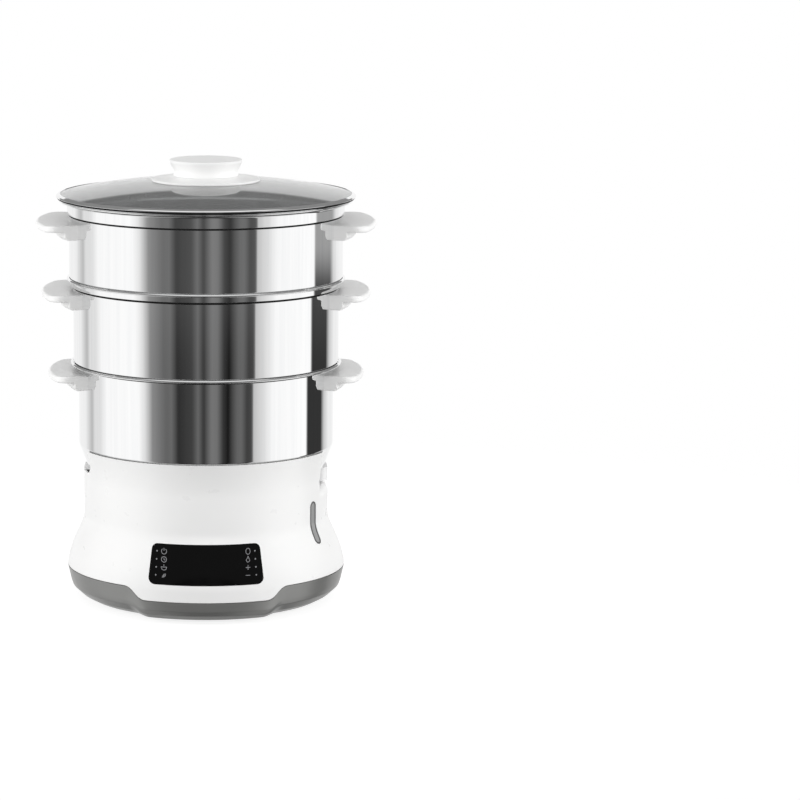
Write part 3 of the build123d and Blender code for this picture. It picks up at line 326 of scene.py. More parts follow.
def polished_steel(name):
    """Mirror polished sheet: faint upright polishing streaks and the slow waves of a pressing.
    Its marked folds carry painted shade: there the steel is dark and dull."""
    material, tree, shader = start_material(name, Specular_IOR_Level=0.0)
    streaks = noise(tree, 260, 3, (1, 1, 0.02))
    fold = tree.nodes.new("ShaderNodeAttribute")
    fold.attribute_name = "painted_fold_shade"
    # painted shade: where a fold is marked, the steel loses its metal and turns dark and dull
    unshaded = mapped(tree, fold.outputs["Fac"], (0.0, 1.0, 1.0, 0.02))
    tree.links.new(unshaded, shader.inputs["Metallic"])
    colour = tree.nodes.new("ShaderNodeVectorMath")
    colour.operation = "SCALE"
    tree.links.new(unshaded, colour.inputs["Scale"])
    tint(tree, streaks, colour.inputs[0], (0.90, 0.905, 0.91), (0.955, 0.955, 0.955))
    tree.links.new(colour.outputs["Vector"], shader.inputs["Base Color"])
    vary(tree, noise(tree, 35, 3), shader.inputs["Roughness"], 0.012, 0.035)
    relief(tree, shader, (noise(tree, 9, 1), 0.05 * mm), (streaks, 0.0002 * mm))
    return material


def brushed(name, colour, roughness, stretch=(1, 1, 0.02)):
    """Satin metal: fine lines that vary the sheen and the colour."""
    material, tree, shader = start_material(name, Metallic=1.0)
    lines = noise(tree, 900, 3, stretch)
    tint(tree, lines, shader.inputs["Base Color"], scaled(colour, 0.88), scaled(colour, 1.08))
    vary(tree, lines, shader.inputs["Roughness"], roughness * 0.75, roughness * 1.25)
    relief(tree, shader, (lines, 0.004 * mm))
    return material


def rubbery(name, colour):
    """Rubber or silicone: dull, with a dusty unevenness."""
    material, tree, shader = start_material(name)
    dust = noise(tree, 180, 4)
    tint(tree, dust, shader.inputs["Base Color"], scaled(colour, 0.85), scaled(colour, 1.15))
    vary(tree, dust, shader.inputs["Roughness"], 0.6, 0.85)
    relief(tree, shader, (noise(tree, 2200, 2), 0.01 * mm))
    return material


def clear_glass(name, colour, roughness, index, clear=1.0):
    """Clear glass or plastic with a trace of wiping marks, misted where `clear` is under 1."""
    material, tree, shader = start_material(name, Transmission_Weight=clear, IOR=index)
    marks = noise(tree, 25, 4, (1, 0.3, 1))
    tint(tree, marks, shader.inputs["Base Color"], scaled(colour, 0.99), colour)
    vary(tree, marks, shader.inputs["Roughness"], roughness, roughness + 0.015)
    return material


def circuit_board(name, colour):
    """Solder mask over copper: the tracks show as slightly lighter lines."""
    material, tree, shader = start_material(name, Coat_Weight=0.4)
    coordinates = tree.nodes.new("ShaderNodeTexCoord")
    tracks = tree.nodes.new("ShaderNodeTexBrick")
    tracks.inputs["Scale"].default_value = 60
    tracks.inputs["Color1"].default_value = (*colour, 1)
    tracks.inputs["Color2"].default_value = (*scaled(colour, 0.8), 1)
    tracks.inputs["Mortar"].default_value = (*scaled(colour, 1.9), 1)
    tree.links.new(coordinates.outputs["Object"], tracks.inputs["Vector"])
    tree.links.new(tracks.outputs["Color"], shader.inputs["Base Color"])
    vary(tree, noise(tree, 90, 3), shader.inputs["Roughness"], 0.3, 0.45)
    return material


finishes = {
    "white_casing": moulded("white_casing", (0.915, 0.915, 0.91), 0.3),
    "white_handles": moulded("white_handles", (0.93, 0.93, 0.925), 0.33),
    "grey_skirt": moulded(
        "grey_skirt", (0.29, 0.29, 0.283), 0.34, grain=0.006 * mm, grain_scale=1900, Metallic=0.55,
    ),
    "black_rubber": rubbery("black_rubber", (0.03, 0.03, 0.03)),
    "polished_steel": polished_steel("polished_steel"),
    "tray_steel": brushed("tray_steel", (0.78, 0.78, 0.78), 0.22, (1, 0.02, 1)),
    "heater_steel": brushed("heater_steel", (0.66, 0.66, 0.66), 0.3, (1, 0.02, 1)),
    "plated_steel": brushed("plated_steel", (0.62, 0.63, 0.66), 0.35),
    "screw_steel": brushed("screw_steel", (0.64, 0.64, 0.64), 0.28),
    "element_metal": brushed("element_metal", (0.42, 0.40, 0.38), 0.5),
    "spring_metal": brushed("spring_metal", (0.78, 0.65, 0.35), 0.3),
    "tank_plastic": moulded("tank_plastic", (0.80, 0.80, 0.79), 0.4),
    "grey_plastic": moulded("grey_plastic", (0.42, 0.42, 0.42), 0.45),
    "juice_plastic": moulded("juice_plastic", (0.88, 0.88, 0.88), 0.25),
    "silicone": rubbery("silicone", (0.62, 0.62, 0.60)),
    "dark_silicone": rubbery("dark_silicone", (0.10, 0.10, 0.10)),
    "black_plastic": moulded("black_plastic", (0.03, 0.03, 0.03), 0.4),
    "component_black": moulded("component_black", (0.03, 0.03, 0.03), 0.5),
    "component_white": moulded("component_white", (0.82, 0.82, 0.78), 0.4),
    "component_yellow": moulded("component_yellow", (0.72, 0.56, 0.10), 0.35),
    "board_green": circuit_board("board_green", (0.03, 0.17, 0.07)),
    "wire_brown": moulded("wire_brown", (0.22, 0.10, 0.05), 0.45),
    "wire_red": rubbery("wire_red", (0.50, 0.06, 0.04)),
    "ribbon_grey": moulded("ribbon_grey", (0.55, 0.55, 0.55), 0.5),
    "display_black": moulded("display_black", (0.015, 0.015, 0.015), 0.2),
    "panel_black": moulded(
        "panel_black", (0.0025, 0.0025, 0.0025), 0.14, grain=0.0006 * mm, Specular_IOR_Level=0.2,
    ),
    "print_grey": moulded("print_grey", (0.24, 0.24, 0.25), 0.5),
    "trim_grey": moulded("trim_grey", (0.10, 0.10, 0.10), 0.35),
    "lens_grey": moulded("lens_grey", (0.34, 0.34, 0.34), 0.12, grain=0.0005 * mm, Coat_Weight=0.5),
    "window_clear": clear_glass("window_clear", (0.80, 0.82, 0.82), 0.08, 1.49),
    "lid_glass": clear_glass("lid_glass", (0.66, 0.67, 0.67), 0.0, 1.5, clear=0.85),
}


def dress_solids():
    """Give each solid that stays in view the finish of its material slot."""
    for part in frame["record"]["subparts"]:
        for holder in frame["nodes"][part["node"]].material_slots:
            holder.material = finishes[part["material_slot"]]


dress_solids()


# ------------------------------------------------------------------ bowls
# each rolled lip: how far it lies below the top of its solid, and how far it curls down
lip_drop = {"bottom": 3.6 * mm, "middle": 0.0, "top": 1.5 * mm}
lip_curl = {"bottom": 0.9 * mm, "middle": 0.9 * mm, "top": 0.3 * mm}
bead_r = 1.0 * mm

# each rim from its step, which lies so far below the lip, over the collar to the funnel
step_drop = {"bottom": 4.4 * mm, "middle": 10.0 * mm, "top": 16.2 * mm}
step_h = {"middle": 2.4 * mm, "top": 2.0 * mm}
collar_r = {"middle": 135.2 * mm, "top": 137.9 * mm}
funnel_h = {"bottom": 1.1 * mm, "middle": 2.3 * mm, "top": 3.6 * mm}
funnel_in = 2.4 * mm
funnel_bend = {"bottom": 1.0 * mm, "middle": 1.0 * mm, "top": 2.0 * mm}

# how far over the lip of the bowl below each wall begins, and its bend there
wall_rise = {"middle": 0.5 * mm, "top": 1.3 * mm}
wall_bend = 1.6 * mm


class Tier:
    """Sizes of one bowl, read from its solids."""

    def __init__(self, name):
        self.name = name
        low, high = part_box(name + "_bowl_shell")
        self.low_z = low.z
        self.lip_z = high.z - sheet_t - lip_drop[name]
        self.lip_r = high.x
        self.neck_r = reach(name + "_tray") + 4 * seat_gap
        self.body_r = self.neck_r + taper_in
        self.taper_z = low.z + neck_h + taper_h
        self.handle_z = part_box(name + "_handle_left")[1].z
        self.grip_r = reach(name + "_handle_left")

    def seat_radius(self, z):
        """Radius at height z of the cone that takes this bowl's taper."""
        return self.body_r - taper_slope * (self.taper_z - z) + seat_gap


sizes = {name: Tier(name) for name in tiers}


def rim_points(tier):
    """Step, collar and funnel below the rolled lip, as (radius, height, bend radius). The bottom
    bowl has only the funnel."""
    name = tier.name
    step_z = tier.lip_z - step_drop[name]
    funnel_z = tier.lip_z - funnel_h[name]
    if name == "bottom":
        return [
            (tier.body_r, step_z, 0.5 * mm),
            (tier.lip_r - funnel_in, funnel_z, funnel_bend[name]),
        ]
    return [
        (tier.body_r, step_z, 0.4 * mm),
        (collar_r[name], step_z + step_h[name], 0.5 * mm),
        (collar_r[name], funnel_z, funnel_bend[name]),
    ]


def foot_points(tier):
    """Neck and taper below the wall, as (radius, height, bend radius). A bowl that stands in
    another one has its taper drawn in where that one's wall ends."""
    neck = [
        (tier.neck_r - ledge_in, tier.low_z, 0),
        (tier.neck_r, tier.low_z, 0.8 * mm),
        (tier.neck_r, tier.low_z + neck_h, 0.7 * mm),
    ]
    if tier.name == "bottom":
        return neck + [(tier.body_r, tier.taper_z, wall_bend)]
    below = sizes[tiers[tiers.index(tier.name) - 1]]
    return neck + [
        (below.body_r - sheet_t - seat_gap, below.lip_z - step_drop[below.name], 1.0 * mm),
        (tier.body_r, below.lip_z + wall_rise[tier.name], wall_bend),
    ]


def make_bowl(tier):
    """Pressed and polished shell: ledge, neck, taper, wall, step, funnel and a rolled lip, with
    the sheet's section turned round the axis."""
    name = tier.name + "_bowl"
    curl = lip_curl[tier.name]
    foot = foot_points(tier)
    profile = np.array([
        *foot,
        *rim_points(tier),
        (tier.lip_r - lip_w - curl / 2, tier.lip_z, 0.6 * mm),
        (tier.lip_r - bead_r * 0.6, tier.lip_z - curl, 0),
    ])
    outline = sheet_outline(rounded(profile[:, :2], profile[:, 2]), sheet_t)
    shell = turned(name + "_steel", outline)
    rim = profile[len(foot):-1, :2]
    # painted shade: the finish darkens the step and the funnel under the lip
    paint_fold_shade(shell, rim[:2], rim[-2:])
    place(shell, name, "polished_steel", name + "_shell")

    bead_z = tier.lip_z + sheet_t - bead_r - curl
    angle = np.linspace(0, 2 * pi, 20, endpoint=False)
    bead = np.stack([
        tier.lip_r - bead_r + bead_r * np.cos(angle), bead_z + bead_r * np.sin(angle),
    ], 1)
    place(turned(name + "_rolled_lip", bead), name, "polished_steel")


# ------------------------------------------------------------------ handles
handle_span = radians(23.3)  # half of the angle that a grip takes up
plate_t = 6.5 * mm  # the grip's plate, and the block below it that is screwed to the bowl
block_w = 14.0 * mm
block_h = 8.4 * mm
plan_corner = 13.0 * mm  # the plate's corners as seen from above
end_round = 1.5 * mm
handle_chamfer = 3.2 * mm
handle_bends = (0, 1.2 * mm, 1.2 * mm, 1.6 * mm, 2.2 * mm, 2.6 * mm, 0)


def handle_section(tier, grip_r, inset):
    """Closed section of grip plate and mounting block, drawn in by `inset` on its free sides."""
    seat_r = tier.body_r - sheet_t / 2
    block_r = tier.body_r + block_w - inset
    plate_z = tier.handle_z - plate_t
    corners = [
        (seat_r, plate_z - block_h + inset),
        (block_r - handle_chamfer, plate_z - block_h + inset),
        (block_r, plate_z - block_h + handle_chamfer + inset),
        (block_r, plate_z + inset),
        (grip_r - inset, plate_z + inset),
        (grip_r - inset, tier.handle_z - inset),
        (seat_r, tier.handle_z - inset),
    ]
    return rounded(corners, handle_bends, closed=True)


def make_handle(tier, side, name):
    """Grip round part of the wall: the plate's reach follows a corner arc towards each end,
    R - c + sqrt(c^2 - (c - s)^2) at a distance s from it, and the ends are rounded over."""
    turn = np.linspace(0, pi / 2, 5)
    rounding = end_round * (1 - np.sin(turn))
    corner = plan_corner * (1 - np.cos(np.linspace(0, pi / 2, 13)))
    corner = corner[corner > end_round]
    level = np.linspace(plan_corner, tier.grip_r * handle_span, 14)[1:]
    distance = np.concatenate([rounding[::-1], corner, level])
    inset = np.concatenate([end_round * (1 - np.cos(turn))[::-1], 0 * corner, 0 * level])
    cut = plan_corner - np.minimum(distance, plan_corner)
    grip_r = tier.grip_r - plan_corner + np.sqrt(plan_corner**2 - cut**2)
    half = [handle_section(tier, r, d) for r, d in zip(grip_r, inset)]
    angle = handle_span - distance / tier.grip_r
    sections = half + half[-2::-1]
    azimuth = side * pi / 2 + np.concatenate([-angle, angle[-2::-1]])
    grip = carried(name + "_grip", sections, azimuth)
    place(grip, tier.name + "_bowl", "white_handles", name)


for tier in sizes.values():
    make_bowl(tier)
    make_handle(tier, -1, tier.name + "_handle_left")
    make_handle(tier, 1, tier.name + "_handle_right")


# ------------------------------------------------------------------ casing
base_low, base_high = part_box("base_housing")

# the outline, from the rim that leans out over the upright wall and the flare to the hem
rim_z = base_high.z
rim_r = 127.6 * mm
lean_h = 32.0 * mm
lean_power = 1.6
plain_z = 104.0 * mm
wall_r = 122.0 * mm
flare_top_z = 88.0 * mm
flare_mid = (130.2 * mm, 65.0 * mm)
flare_slope = -0.472
hem_r = 139.0 * mm
hem_z = 35.0 * mm
hem_slope = -0.1

# the joint with the skirt, which dips at the front
dip_z = base_low.z + 2.6 * mm
dip_half_w = 59.0 * mm
dip_end_x = 81.0 * mm
joint_gap = 0.35 * mm
joint_edge_in = 0.45 * mm
joint_edge_h = 0.3 * mm

# the notches under the side grips, with the filling spout in the right one
notch_half_angle = 22.6
notch_round = 1.2 * mm
left_notch_z = rim_z - 24.6 * mm
left_notch_r = 15.0 * mm
rim_groove = 0.9 * mm
spout_z = 108.0 * mm
spout_rise = 10.0 * mm
spout_depth = 8.5 * mm
spout_drip = 2.0 * mm
edge_zone = 4.0 * mm  # on each side of a notch's edge, with closer columns


def hermite(t, start, end, slope_start, slope_end):
    """Cubic from start to end for t from 0 to 1, with the given slopes per unit of t."""
    return (
        (2 * t**3 - 3 * t**2 + 1) * start + (t**3 - 2 * t**2 + t) * slope_start
        + (3 * t**2 - 2 * t**3) * end + (t**3 - t**2) * slope_end
    )


def casing_r(z):
    """Outer radius of the casing at height z: upright to the hem, a flare in two cubics, an
    upright wall, and a rim that leans out in an easy curve."""
    z = np.asarray(z, float)
    mid_r, mid_z = flare_mid
    lower = hermite(
        np.clip((z - hem_z) / (mid_z - hem_z), 0, 1), hem_r, mid_r,
        hem_slope * (mid_z - hem_z), flare_slope * (mid_z - hem_z),
    )
    upper = hermite(
        np.clip((z - mid_z) / (flare_top_z - mid_z), 0, 1), mid_r, wall_r,
        flare_slope * (flare_top_z - mid_z), 0.0,
    )
    lean = np.clip((z - (rim_z - lean_h)) / lean_h, 0, 1)
    return np.where(z < mid_z, lower, upper) + (rim_r - wall_r) * lean**lean_power


def joint_z(x, y):
    """Height of the joint between casing and skirt: an S curve on each side of the front dip."""
    t = np.linspace(0, 1, 41)
    run = 1.5 * (dip_end_x - dip_half_w)
    bend_x = hermite(t, dip_half_w, dip_end_x, run, run)
    bend_z = dip_z + (hem_z - dip_z) * (3 * t**2 - 2 * t**3)
    return np.where(y < 0, np.interp(np.abs(x), bend_x, bend_z), hem_z)


def spaced(path, count):
    """The path as `count` points at equal distances along it."""
    path = np.asarray(path, float)
    along = np.concatenate([[0], np.cumsum(np.hypot(*np.diff(path, axis=0).T))])
    at = np.linspace(0, along[-1], count)
    return np.stack([np.interp(at, along, path[:, 0]), np.interp(at, along, path[:, 1])], 1)


def casing_columns():
    """Azimuths of the casing's columns, closer together at the edges of the notches."""
    even = np.radians(np.arange(0, 360, 0.9))
    edges = np.radians([
        side + end * notch_half_angle for side in (90, 270) for end in (-1, 1)
    ])
    near = np.concatenate([edge + np.linspace(-1, 1, 17) * edge_zone / wall_r for edge in edges])
    distance = np.min(np.abs(even[:, None] - edges[None]), axis=1)
    kept = even[distance > (edge_zone + 0.4 * mm) / wall_r]
    return np.sort(np.concatenate([kept, near]))


def spout_lip():
    """Section of the filling spout over the plain wall: its outside, tip and inside."""
    arc = np.linspace(0, pi / 2, 14)
    mid_r = wall_r - spout_depth
    over = np.stack([mid_r + spout_depth * np.cos(arc), spout_z + spout_rise * np.sin(arc)], 1)
    under = np.stack([
        mid_r + (spout_depth - casing_t) * np.cos(arc),
        spout_z + (spout_rise - casing_t) * np.sin(arc),
    ], 1)
    tip_r = mid_r - spout_drip
    outer = np.concatenate([[(casing_r(plain_z), plain_z)], over])
    tip = rounded([over[-1], (tip_r, over[-1, 1]), (tip_r, under[-1, 1]), under[-1]], 1.0 * mm)
    inner = np.concatenate([under[::-1], [(wall_r - casing_t, plain_z)]])
    return outer, tip, inner


def rim_lip(inside):
    """Section of the rim over the plain wall: its outside, edge and inside. The rim drops to the
    left notch's floor where `inside`, the distance from the notch's edge, is positive."""
    top_z = rim_z
    if inside > 0:
        corner = max(left_notch_r - inside, 0)
        top_z = left_notch_z + left_notch_r - sqrt(left_notch_r**2 - corner**2)
    elif -inside < notch_round:
        top_z -= notch_round - sqrt(notch_round**2 - (notch_round + inside) ** 2)
    inner_r = wall_r - casing_t
    seat_radius = sizes["bottom"].seat_radius
    height = np.linspace(plain_z, top_z - 0.6 * mm, 24)
    outer = np.stack([casing_r(height), height], 1)
    inner = np.stack([np.maximum(inner_r, seat_radius(height)), height], 1)[::-1]
    inner[0, 1] -= rim_groove
    edge_r = max(inner_r, seat_radius(top_z)) + rim_groove
    edge = rounded([outer[-1], (casing_r(top_z), top_z), (edge_r, top_z), inner[0]], 0.45 * mm)
    return outer, edge, inner


def casing_section(azimuth):
    """Closed section of the casing at an azimuth, always with the same number of points. It runs
    up the outside from the joint, over the rim or the spout, and down again a wall further in."""
    x, y = hem_r * sin(azimuth), -hem_r * cos(azimuth)
    low_z = float(joint_z(x, y)) + joint_gap
    off_side = abs(abs((degrees(azimuth) + 180) % 360 - 180) - 90)
    inside = radians(notch_half_angle - off_side) * wall_r
    at_right = 0 < degrees(azimuth) < 180
    lower_z = low_z + np.linspace(0, 1, 44) ** 1.15 * (plain_z - low_z)
    lower = np.stack([casing_r(lower_z), lower_z], 1)
    lower[0, 0] -= joint_edge_in
    lower[1, 1] = low_z + joint_edge_h
    outer, edge, inner = spout_lip() if inside > 0 and at_right else rim_lip(inside)
    flare_z = np.linspace(flare_top_z, low_z, 18)[1:]
    down = np.concatenate([
        [(wall_r - casing_t, plain_z), (wall_r - casing_t, flare_top_z)],
        np.stack([casing_r(flare_z) - casing_t, flare_z], 1),
    ])
    return np.concatenate([
        lower, spaced(outer, 28)[1:], spaced(edge, 14)[1:-1], spaced(inner, 16),
        spaced(down, 18)[1:],
    ])


def make_casing():
    """White casing with its rim, its notches under the side grips and the filling spout."""
    azimuth = casing_columns()
    sections = np.stack([casing_section(a) for a in azimuth])
    place(ringed("casing", sections, azimuth), "base", "white_casing", "base_housing")


# ------------------------------------------------------------------ skirt
# its outside at the sides and at the front lobe, as (radius, height) in millimetres
side_line = [(139.0, 35.0), (135.5, 20.0), (134.0, 15.7), (126.0, 8.3), (118.0, 4.0)]
lobe_line = [(139.0, 24.5), (138.7, 14.8), (136.0, 9.5), (128.0, 4.0)]
sole_mid_r = 60.0 * mm
sole_t = 2.5 * mm
floor_r = 112.0 * mm


def make_skirt():
    """Grey lower casing. Its section changes over smoothly from the side's, with a facet over an
    undercut, to the fuller one of the front lobe, and is stretched upwards to meet the joint."""
    side = spaced(rounded(np.array(side_line) * mm, [0, 2.5 * mm, 2.5 * mm, 4 * mm, 0]), 44)
    lobe = spaced(rounded(np.array(lobe_line) * mm, [0, 4 * mm, 4 * mm, 0]), 44)
    azimuth = np.linspace(0, 2 * pi, 480, endpoint=False)
    x, y = hem_r * np.sin(azimuth), -hem_r * np.cos(azimuth)
    top = joint_z(x, y)
    share = np.clip((dip_end_x - np.abs(x)) / (dip_end_x - dip_half_w), 0, 1)
    share = np.where(y < 0, share, 0)
    share = (3 * share**2 - 2 * share**3)[:, None, None]
    outer = (1 - share) * side + share * lobe
    foot = outer[:, -1:, 1]
    stretch = (top[:, None] - foot) / (outer[:, :1, 1] - foot)
    outer[..., 1] = foot + (outer[..., 1] - foot) * stretch

    edge = np.repeat(outer[:, :1], 3, axis=1)
    edge[:, 0] += np.array([-casing_t, 0])
    edge[:, 1] += np.array([-0.5 * mm, 0])
    edge[:, 2] += np.array([-0.12 * mm, -0.12 * mm])
    sole = np.repeat(outer[:, -1:], 3, axis=1)
    sole[:, 0] += np.array([-0.5 * mm, 0])
    sole[:, 1, 0] = sole_mid_r
    sole[:, 2, 0] = 0
    floor = sole[:, ::-1] + np.array([0, sole_t])
    floor[:, 2, 0] = floor_r
    sections = np.concatenate([edge, outer[:, 1:], sole, floor], axis=1)[:, ::-1]
    place(ringed("skirt", sections, azimuth), "base", "grey_skirt", "base_skirt")


make_casing()
make_skirt()


# ------------------------------------------------------------------ touch panel
panel_top_z = 77.9 * mm
panel_low_z = 40.0 * mm
panel_top_half_w = 52.2 * mm
panel_low_half_w = 56.8 * mm
panel_lean = (panel_top_half_w - panel_low_half_w) / (panel_top_z - panel_low_z)
panel_corner = 6.0 * mm
panel_rise = 0.3 * mm
print_rise = panel_rise + 0.04 * mm


def on_front(x, z, rise):
    """Points on the casing's front at (x, z), `rise` outside its surface of radius R(z):
    y = -sqrt((R + rise)^2 - x^2)."""
    x, z, rise = np.broadcast_arrays(x, z, rise)
    radius = casing_r(z) + rise
    return np.stack([x, -np.sqrt(radius**2 - x**2), z], -1)


def looped(name, loops):
    """Closed skin over loops of points, from a first loop to a last one that shrinks to a point."""
    loops = np.asarray(loops)
    return make_mesh(name, loops, grid_faces(*loops.shape[:2], wrap_columns=True))


def make_panel():
    """Glossy black touch panel, a thin plate with eased edges let into the casing's front. Its
    outline shrinks towards its middle, loop by loop."""
    corners = np.array([
        (-panel_low_half_w, panel_low_z), (panel_low_half_w, panel_low_z),
        (panel_top_half_w, panel_top_z), (-panel_top_half_w, panel_top_z),
    ])
    outline = rounded(corners, panel_corner, steps=10, closed=True)
    outline = spaced(np.concatenate([outline, outline[:1]]), 241)[:-1]
    middle = outline.mean(0)
    # (share of the outline, rise over the casing) of the plate's side, its eased edge and its face
    steps = [
        (1.0, -0.6 * mm), (1.0, panel_rise * 0.4), (0.997, panel_rise * 0.85), (0.992, panel_rise),
        *((share, panel_rise) for share in np.linspace(0.985, 0, 26)),
    ]
    loops = []
    for share, rise in steps:
        flat = middle + (outline - middle) * share
        loops.append(on_front(flat[:, 0], flat[:, 1], rise))
    place(looped("touch_panel", loops), "base", "panel_black", "control_panel")


def stroke(points, width):
    """Flat ribbon of a drawn line: its two edges, as point lists in (x, z)."""
    points = np.asarray(points, float)
    side = path_normals(points) * width / 2
    return points + side, points - side


def circle_points(x, z, radius, start=0.0, end=360.0, count=24, squash=1.0):
    """Arc as points in (x, z)."""
    angle = np.radians(np.linspace(start, end, count))
    return np.stack([x + radius * np.cos(angle), z + radius * squash * np.sin(angle)], 1)


# line drawings for the keys in units of half a mark, centre at (0, 0)
marks = {
    "power": [circle_points(0, 0, 1, 125, 415), [(0, 0.25), (0, 1.15)]],
    "clock": [circle_points(0, 0, 1), [(0, 0.65), (0, 0), (0.5, -0.2)]],
    "bowl": [
        circle_points(0, 0.1, 1.05, 180, 360),
        [(-1.2, 0.15), (1.2, 0.15)],
        [(0, 0.45), (0, 1.1)],
    ],
    "leaf": [
        circle_points(-0.55, 0.55, 1.25, -90, 0),
        circle_points(0.7, -0.7, 1.25, 90, 180),
        [(-0.7, -0.8), (0.3, 0.2)],
    ],
    "egg": [circle_points(0, 0, 0.85, 0, 360, 28, 1.25)],
    "drop": [[(-0.6, -0.1), (0, 1.1), (0.6, -0.1)], circle_points(0, -0.3, 0.65, 160, 380)],
    "more": [[(-0.9, 0), (0.9, 0)], [(0, -0.9), (0, 0.9)]],
    "less": [[(-0.9, 0), (0.9, 0)]],
}

# each row of keys from the top: its height, and its marks at the left and at the right
mark_rows = (
    (71.0 * mm, "power", "egg"),
    (63.7 * mm, "clock", "drop"),
    (56.4 * mm, "bowl", "more"),
    (49.1 * mm, "leaf", "less"),
)
mark_size = 2.5 * mm
mark_line = 0.6 * mm
mark_x = 40.9 * mm
lamp_x = 49.5 * mm
lamp_r = 0.75 * mm


def make_marks():
    """Printed key marks in soft grey, drawn as flat ribbons, with a small dot beside each."""
    points, faces = [], []
    for row_z, *names in mark_rows:
        for side, name in zip((-1, 1), names):
            centre = np.array([side * mark_x, row_z])
            for line in marks[name]:
                left, right = stroke(np.asarray(line, float) * mark_size + centre, mark_line)
                start, count = len(points), len(left)
                points.extend(on_front(left[:, 0], left[:, 1], print_rise))
                points.extend(on_front(right[:, 0], right[:, 1], print_rise))
                faces.extend(
                    [start + i, start + count + i, start + count + i + 1, start + i + 1]
                    for i in range(count - 1)
                )
            lean = (row_z - panel_low_z) * panel_lean
            dot = circle_points(side * (lamp_x + lean * 0.5), row_z, lamp_r, 0, 340, 18)
            faces.append(list(range(len(points), len(points) + len(dot))))
            points.extend(on_front(dot[:, 0], dot[:, 1], print_rise))
    place(make_mesh("key_marks", points, faces), "base", "print_grey", even=False)


# ------------------------------------------------------------------ level window
window_azimuth = radians(60.0)
window_half_w = 5.3 * mm
window_low_z = 66.6 * mm
window_top_z = 108.6 * mm

# section of the trim, as (distance in from its outline, rise over the casing) in millimetres
trim_line = (
    (0.0, -0.6), (0.0, 0.25), (0.15, 0.55), (0.5, 0.7), (1.1, 0.7), (1.45, 0.5), (1.6, -0.6),
)

# the lens, in millimetres: its edge, its rise there, and its crown with the slope up to it
lens_inset = 1.4
lens_edge_rise = 0.05
lens_crown = 0.4
lens_slope_w = 1.5


def on_window(across, z, rise):
    """Points on the casing at a distance across the window's middle line, which becomes the
    angle distance / radius."""
    radius = casing_r(z)
    return around(radius + rise, window_azimuth + across / radius, z)


def make_level_window():
    """Lens of the water level window, with a dark trim round it. Both are loops of its outline,
    drawn in towards its upright middle line."""
    half = window_half_w
    low, high = window_low_z + half, window_top_z - half
    right = circle_points(0, high, half, 0, 180, 25)
    left = circle_points(0, low, half, 180, 360, 25)
    outline = np.concatenate([right, left])
    outline = spaced(np.concatenate([outline, outline[:1]]), 121)[:-1]
    spine = np.stack([0 * outline[:, 1], np.clip(outline[:, 1], low, high)], 1)

    def loop(inset, rise):
        """The outline drawn in towards the spine, and raised, both in millimetres."""
        flat = outline + (spine - outline) * inset * mm / half
        return on_window(flat[:, 0], flat[:, 1], rise * mm)

    trim = np.asarray([loop(inset, rise) for inset, rise in trim_line])
    mesh = make_mesh("window_trim", trim, grid_faces(*trim.shape[:2], True, True))
    place(mesh, "base", "trim_grey", "level_window")
    lens = []
    for inset in np.linspace(lens_inset, half / mm, 8):
        slope = min(inset - lens_inset, lens_slope_w) / lens_slope_w
        lens.append(loop(inset, lens_edge_rise + lens_crown * slope))
    place(looped("window_lens", lens), "base", "lens_grey")


make_panel()
make_marks()
make_level_window()


# ------------------------------------------------------------------ lid
lid_low, lid_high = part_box("lid_rim_band")
knob_low, knob_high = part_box("lid_knob")
lid_r = lid_high.x
dome_r = 700.0 * mm
glass_t = 3.2 * mm
glass_in = 2.2 * mm  # from the lid's edge to the glass's
glass_hole_r = 5.0 * mm
dome_centre_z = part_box("lid_glass")[1].z - sqrt(dome_r**2 - glass_hole_r**2)
band_w = 4.2 * mm
band_t = 0.4 * mm
band_bends = (0, 1.0 * mm, 0.6 * mm, 0.5 * mm, 0.2 * mm, 0.3 * mm, 0)
disc_r = reach("knob_collar")
disc_edge_t = 2.0 * mm
disc_bends = (0, 1.1 * mm, 20.0 * mm, 0, 0)
screw_hole_r = 2.8 * mm  # in the disc, smaller than the glass's hole
knob_r = reach("lid_knob")
knob_waist_r = 32.0 * mm
knob_hollow_r = 29.0 * mm
knob_bends = (0, 0, 0.6 * mm, 9.0 * mm, 1.6 * mm, 1.3 * mm, 2.5 * mm, 0, 0, 2.0 * mm)


def dome_z(radius, rise=0.0):
    """Height of the glass's upper surface, or of a surface `rise` above it."""
    return dome_centre_z + np.sqrt((dome_r + rise) ** 2 - np.asarray(radius) ** 2)


def dome_line(r_from, r_to, rise):
    """Points along a surface concentric with the glass."""
    radius = np.linspace(r_from, r_to, 24)
    return np.stack([radius, dome_z(radius, rise)], 1)


def make_glass():
    """Shallow glass dome between two concentric spheres, with a hole for the knob's screw."""
    edge_r = lid_r - glass_in
    glass = np.concatenate([
        dome_line(glass_hole_r, edge_r, -glass_t), dome_line(edge_r, glass_hole_r, 0.0),
    ])
    place(turned("lid_dome", glass), "lid", "lid_glass", "lid_glass", even=False)


def make_band():
    """Steel band folded over the glass's edge. Its side slants inwards down to the top bowl."""
    top_z = float(dome_z(lid_r - band_w, band_t + 0.1 * mm))
    low_z = lid_low.z - lip_drop["top"] + 0.05 * mm
    slant_top = (lid_r, top_z - 2.7 * mm)
    slant_foot = (lid_r - 1.5 * mm, low_z)
    fold = [
        (lid_r - band_w, top_z),
        (lid_r - 1.1 * mm, top_z - 1.25 * mm),
        (lid_r - 0.2 * mm, top_z - 2.0 * mm),
        (lid_r, top_z - 2.4 * mm),
        slant_top,
        slant_foot,
        (lid_r - band_w - 1.0 * mm, low_z),
    ]
    band = turned("lid_band", sheet_outline(rounded(fold, band_bends)[::-1], band_t))
    # painted shade: the finish darkens the band's slanting side above the top bowl
    paint_fold_shade(band, (slant_foot, slant_top))
    place(band, "lid", "polished_steel", "lid_rim_band")


